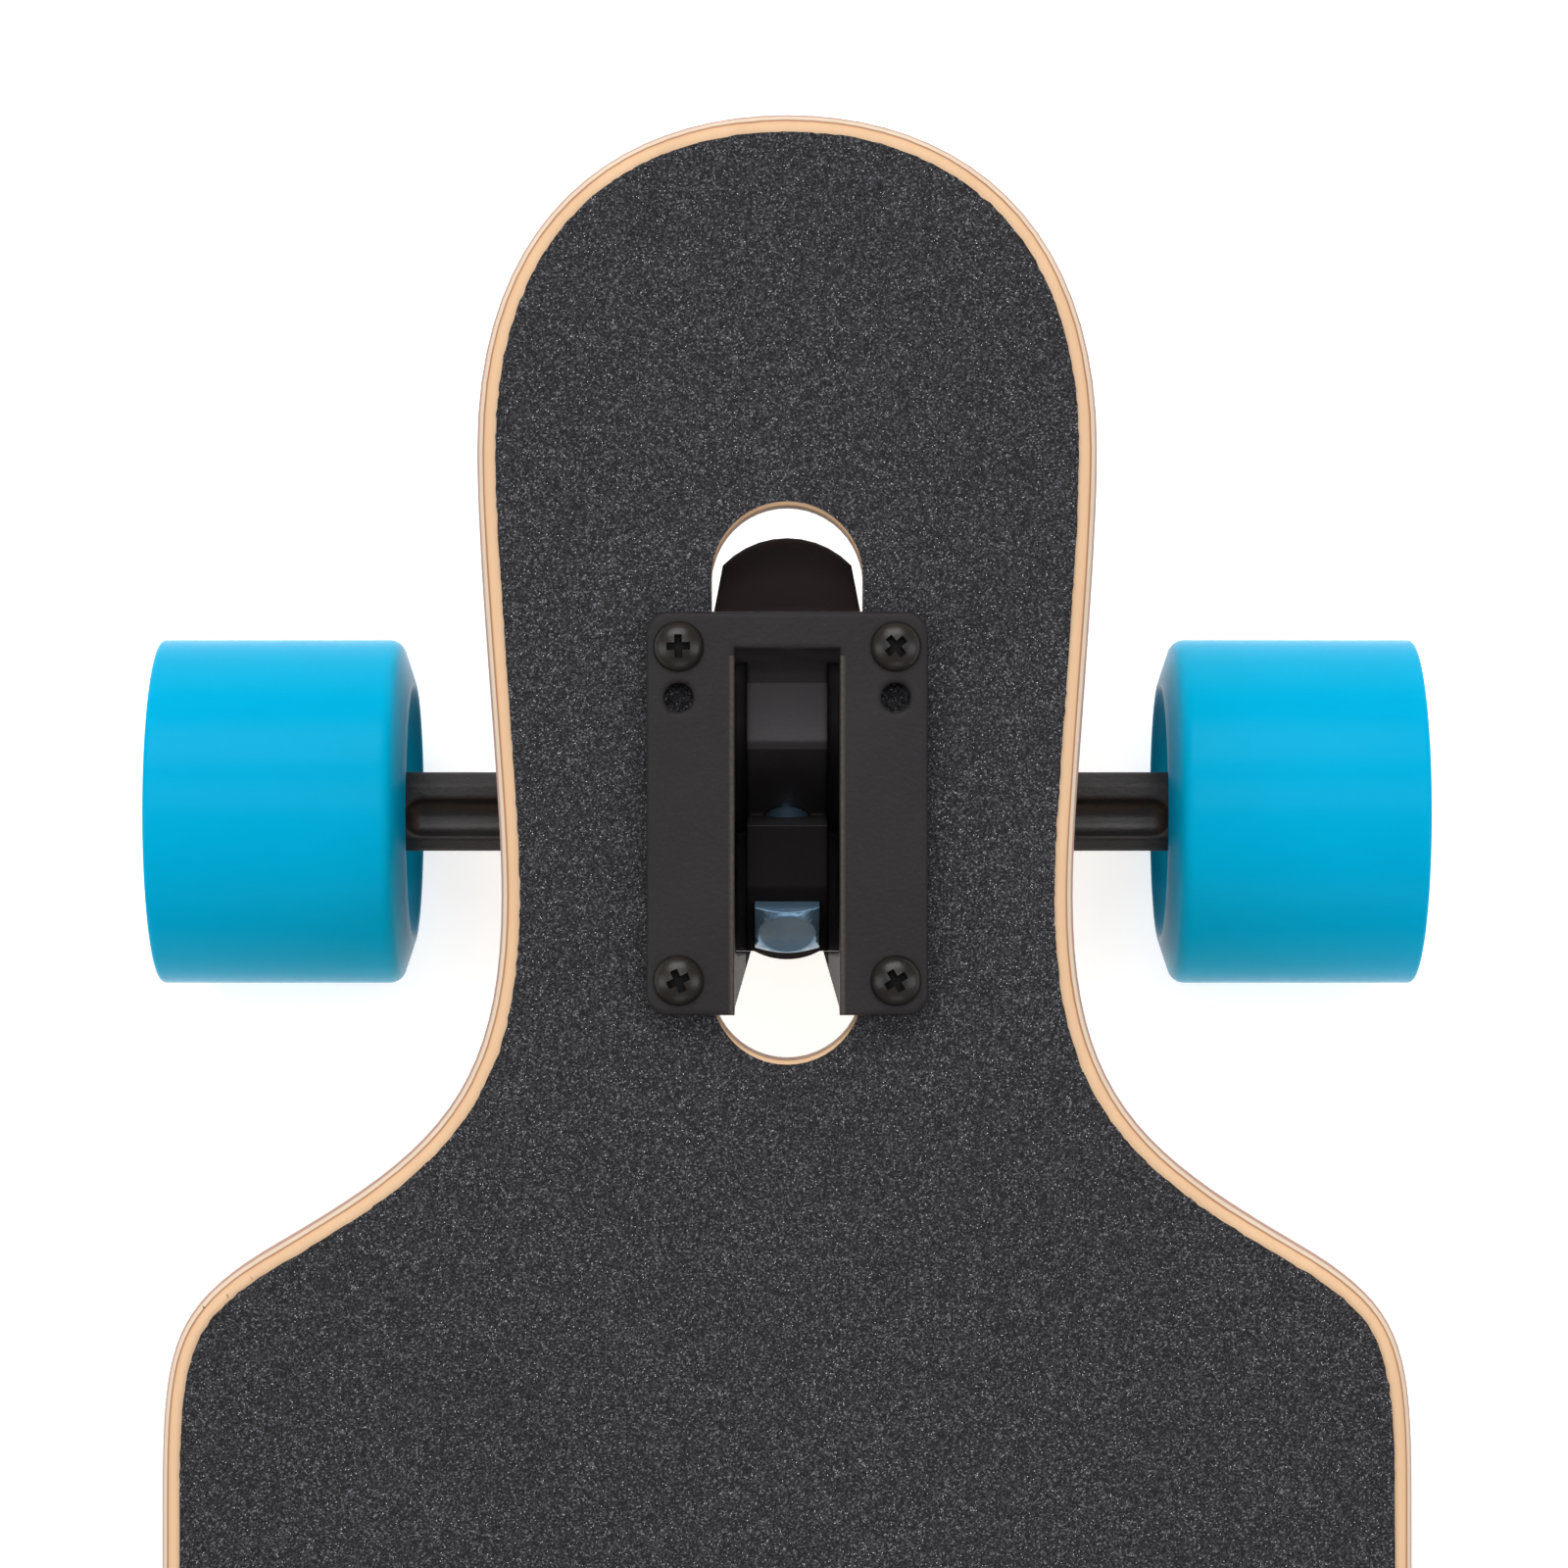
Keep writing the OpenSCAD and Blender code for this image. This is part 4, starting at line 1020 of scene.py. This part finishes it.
# %% Castings and machined parts
for end in ("front", "rear"):
    work = whole_faces(f"{end}_baseplate")
    weights = bevel_weights(work)
    for edge in work.edges:
        top = all(vert.co.z > PLATE_TOP - 0.1 * MM for vert in edge.verts)
        if top and len(edge.link_faces) == 2 and edge.calc_face_angle() > math.radians(50):
            edge[weights] = 1.0
    plate = new_piece(f"{end}_baseplate_rounded", work, PLATE)
    roll_edges(plate, 0.95 * MM, 4, by_weight=True)
    stand_in(plate, f"{end}_baseplate")
    rounded_copy(f"{end}_hanger", CASTING, 0.8 * MM)
    rounded_copy(f"{end}_kingpin", ZINC, 0.35 * MM, 2)
print("castings rounded")

# %% [markdown]
# ## Nuts and screws
# Every nut is a turned ring whose sides are pared flat, with chamfered corners and a collar that grips the thread.
# The tub's screws have a socket for a hexagon key. Their places are read from the working model.

# %% Nuts under the deck and screws round the tub
def nut(radius, height, bore):
    """A lock nut that stands on the X axis, with its collar at the far end."""
    chamfer, collar = 0.55 * MM, height * 0.2
    ring = radius * 0.78
    section = [(0, bore), (0, radius - 0.9 * MM), (chamfer, radius), (height - collar - chamfer, radius)]
    section += [(height - collar, radius - 0.9 * MM), (height - collar, ring), (height - 0.3 * MM, ring)]
    section += [(height, ring - 0.4 * MM), (height, bore)]
    return flats(lathe(section, 72), 6, 2 * radius * math.cos(math.pi / 6))


nut_boxes = islands("truck_nuts")
nut_places = []
for low, high in nut_boxes:
    nut_places.append((Vector(((low.x + high.x) / 2, (low.y + high.y) / 2, high.z)), (0, math.radians(90), 0)))
NUT_R = max(high.x - low.x for low, high in nut_boxes) / 2
NUT_H = high.z - low.z
repeat("truck_nut_set", nut(NUT_R, NUT_H, 2.5 * MM), nut_places, FINISH_OF[SLOT["truck_nuts"]], "truck_nuts")


def tub_screw(low, high):
    """A screw with a low head at the bottom, a hexagon socket and a thread, along Z from its lower end."""
    head_h, head_r, shank_r = 2.0 * MM, 3.6 * MM, 1.9 * MM
    length = high.z - low.z
    section = [(0, 0), (0, 2.3 * MM), (0.25 * MM, 2.75 * MM), (head_h - 0.35 * MM, head_r)]
    section += [(head_h, head_r - 0.1 * MM), (head_h, shank_r)]
    pitch = 1.1 * MM
    for i in range(int((length - head_h - 1 * MM) / pitch)):
        start = head_h + 0.4 * MM + i * pitch
        section += [(start, shank_r - 0.35 * MM), (start + pitch / 2, shank_r)]
    section += [(length, shank_r - 0.5 * MM), (length, 0)]
    above, deep, wide = -1 * MM, 1.2 * MM, 1.6 * MM
    socket = flats(lathe([(above, 0), (above, wide), (deep, wide), (deep, 0)], 60), 6, 2.5 * MM)
    return upright(cut(lathe(section, 40), socket))


tub_screws = islands("enclosure_screws")
places = []
for i, (low, high) in enumerate(tub_screws):
    places.append((Vector(((low.x + high.x) / 2, (low.y + high.y) / 2, low.z)), (0, 0, math.radians(37 * i % 60))))
screw_finish = FINISH_OF[SLOT["enclosure_screws"]]
screws = repeat("tub_screw_set", tub_screw(*tub_screws[0]), places, screw_finish, "enclosure_screws")
print("nuts:", len(nut_places), "tub screws:", len(places), "faces:", len(screws.data.polygons))

# %% [markdown]
# ## Motor leads
# Each motor's three wires run in one braided sleeve, with enough slack for the truck to steer. A second tree sweeps
# a round section along the route. The sleeve follows the truck at the motor and the board at the gland.

# %% Leads
sweep = Tree("sweep_along_route", Radius="Float", Finish="Material")
route = sweep.node("GeometryNodeMeshToCurve", inputs={0: sweep.given("Geometry")})
section = sweep.node("GeometryNodeCurvePrimitiveCircle", inputs={"Resolution": 28, "Radius": sweep.given("Radius")})
sweep.finish(
    sweep.node("GeometryNodeCurveToMesh", inputs={"Curve": route, "Profile Curve": section, "Fill Caps": True})
)

LEAD_ROUTE = [
    (48, -292, 44), (48, -284, 44), (45.5, -272, 46.5), (41, -262, 54),
    (37, -252, 64), (35, -242, 71), (34, -232, 75), (34, -213, 75),
]


def curve_through(points, steps=8):
    """A smooth path through every point."""
    known = [Vector(p) * MM for p in points]
    known = [known[0]] + known + [known[-1]]
    path = []
    for before, start, end, after in zip(known, known[1:], known[2:], known[3:]):
        for i in range(steps):
            t = i / steps
            bend = (2 * start + (end - before) * t + (2 * before - 5 * start + 4 * end - after) * t ** 2)
            path.append((bend + (3 * start - before - 3 * end + after) * t ** 3) / 2)
    return path + [known[-1]]


path = curve_through(LEAD_ROUTE)
count = len(path)
mesh = bpy.data.meshes.new("leads")
mesh.from_pydata(
    [tuple(p) for p in path] + [(-p.x, p.y, p.z) for p in path],
    [(i, i + 1) for i in range(count - 1)] + [(count + i, count + i + 1) for i in range(count - 1)],
    [],
)
leads = bpy.data.objects.new("sleeved_leads", mesh)
scene.collection.objects.link(leads)
sweep.grow(leads, Radius=3.42 * MM, Finish=SLEEVE)
smooth(leads, 50)
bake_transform(leads, "rear_hanger", "board", (0, -0.284, 0.044), (0, -0.228, 0.075))
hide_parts("motor_leads")
print("lead faces:", len(leads.data.polygons))

# %% [markdown]
# ## The rest of the board
# Machined, moulded and pressed parts differ in how soft their edges are. Each kind gets its own small roll. The four
# urethane bushings give way when the board steers, so each bends from its seat to the hanger's ring.

# %% Rounded copies of everything else
ROLL = {
    "bearing_steel": 0.15, "bushing": 0.6, "pivot_cup": 0.4, "wheel_core": 0.5, "pulley_aluminium": 0.15,
    "motor_pulley_steel": 0.12, "belt_rubber": 0.12, "mount_black": 0.5, "stator": 0.25, "motor_can": 0.35,
    "gland_plastic": 0.4, "enclosure_plastic": 1.2, "gasket_rubber": 0.25, "cell_wrap": 0.5, "heat_sink": 0.3,
    "bright_metal": 0.25, "zinc": 0.25, "black_casting": 0.4, "black_screw": 0.25,
}
done = {"deck", "grip_tape", "truck_bolts", "truck_nuts", "enclosure_screws", "motor_leads"}
done |= {node for node in BODY if node.startswith("wheel_") and "pulley" not in node}
done |= {f"{end}_{part}" for end in ("front", "rear") for part in ("baseplate", "hanger", "kingpin")}
KINGPIN_RUN = Vector((0, 0.766, -0.643))


def squeezed_copy(end, side):
    """A rounded bushing that bends between its seat, which stays with the board, and the hanger's ring."""
    node = f"{end}_{side}_bushing"
    piece = new_piece(node + "_rounded", whole_faces(node), BUSHING)
    roll_edges(piece, ROLL["bushing"] * MM, 2)
    run = KINGPIN_RUN * Vector((1, 1 if end == "front" else -1, 1))
    centre = middle(node)
    reach = [run.dot(vert.co - centre) for vert in piece.data.vertices]
    first, last = centre + run * min(reach), centre + run * max(reach)
    seat, ring = (first, last) if side == "board" else (last, first)
    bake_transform(piece, "board", f"{end}_hanger", tuple(seat), tuple(ring))
    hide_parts(node)


for end in ("front", "rear"):
    for side in ("board", "road"):
        squeezed_copy(end, side)
        done.add(f"{end}_{side}_bushing")

faces = {}
for node in sorted(set(frame["nodes"]) - done):
    piece = rounded_copy(node, FINISH_OF[SLOT[node]], ROLL[SLOT[node]] * MM, 2)
    faces[node] = len(piece.data.polygons)
print("rounded:", len(faces), "largest:", max(faces, key=faces.get), max(faces.values()))
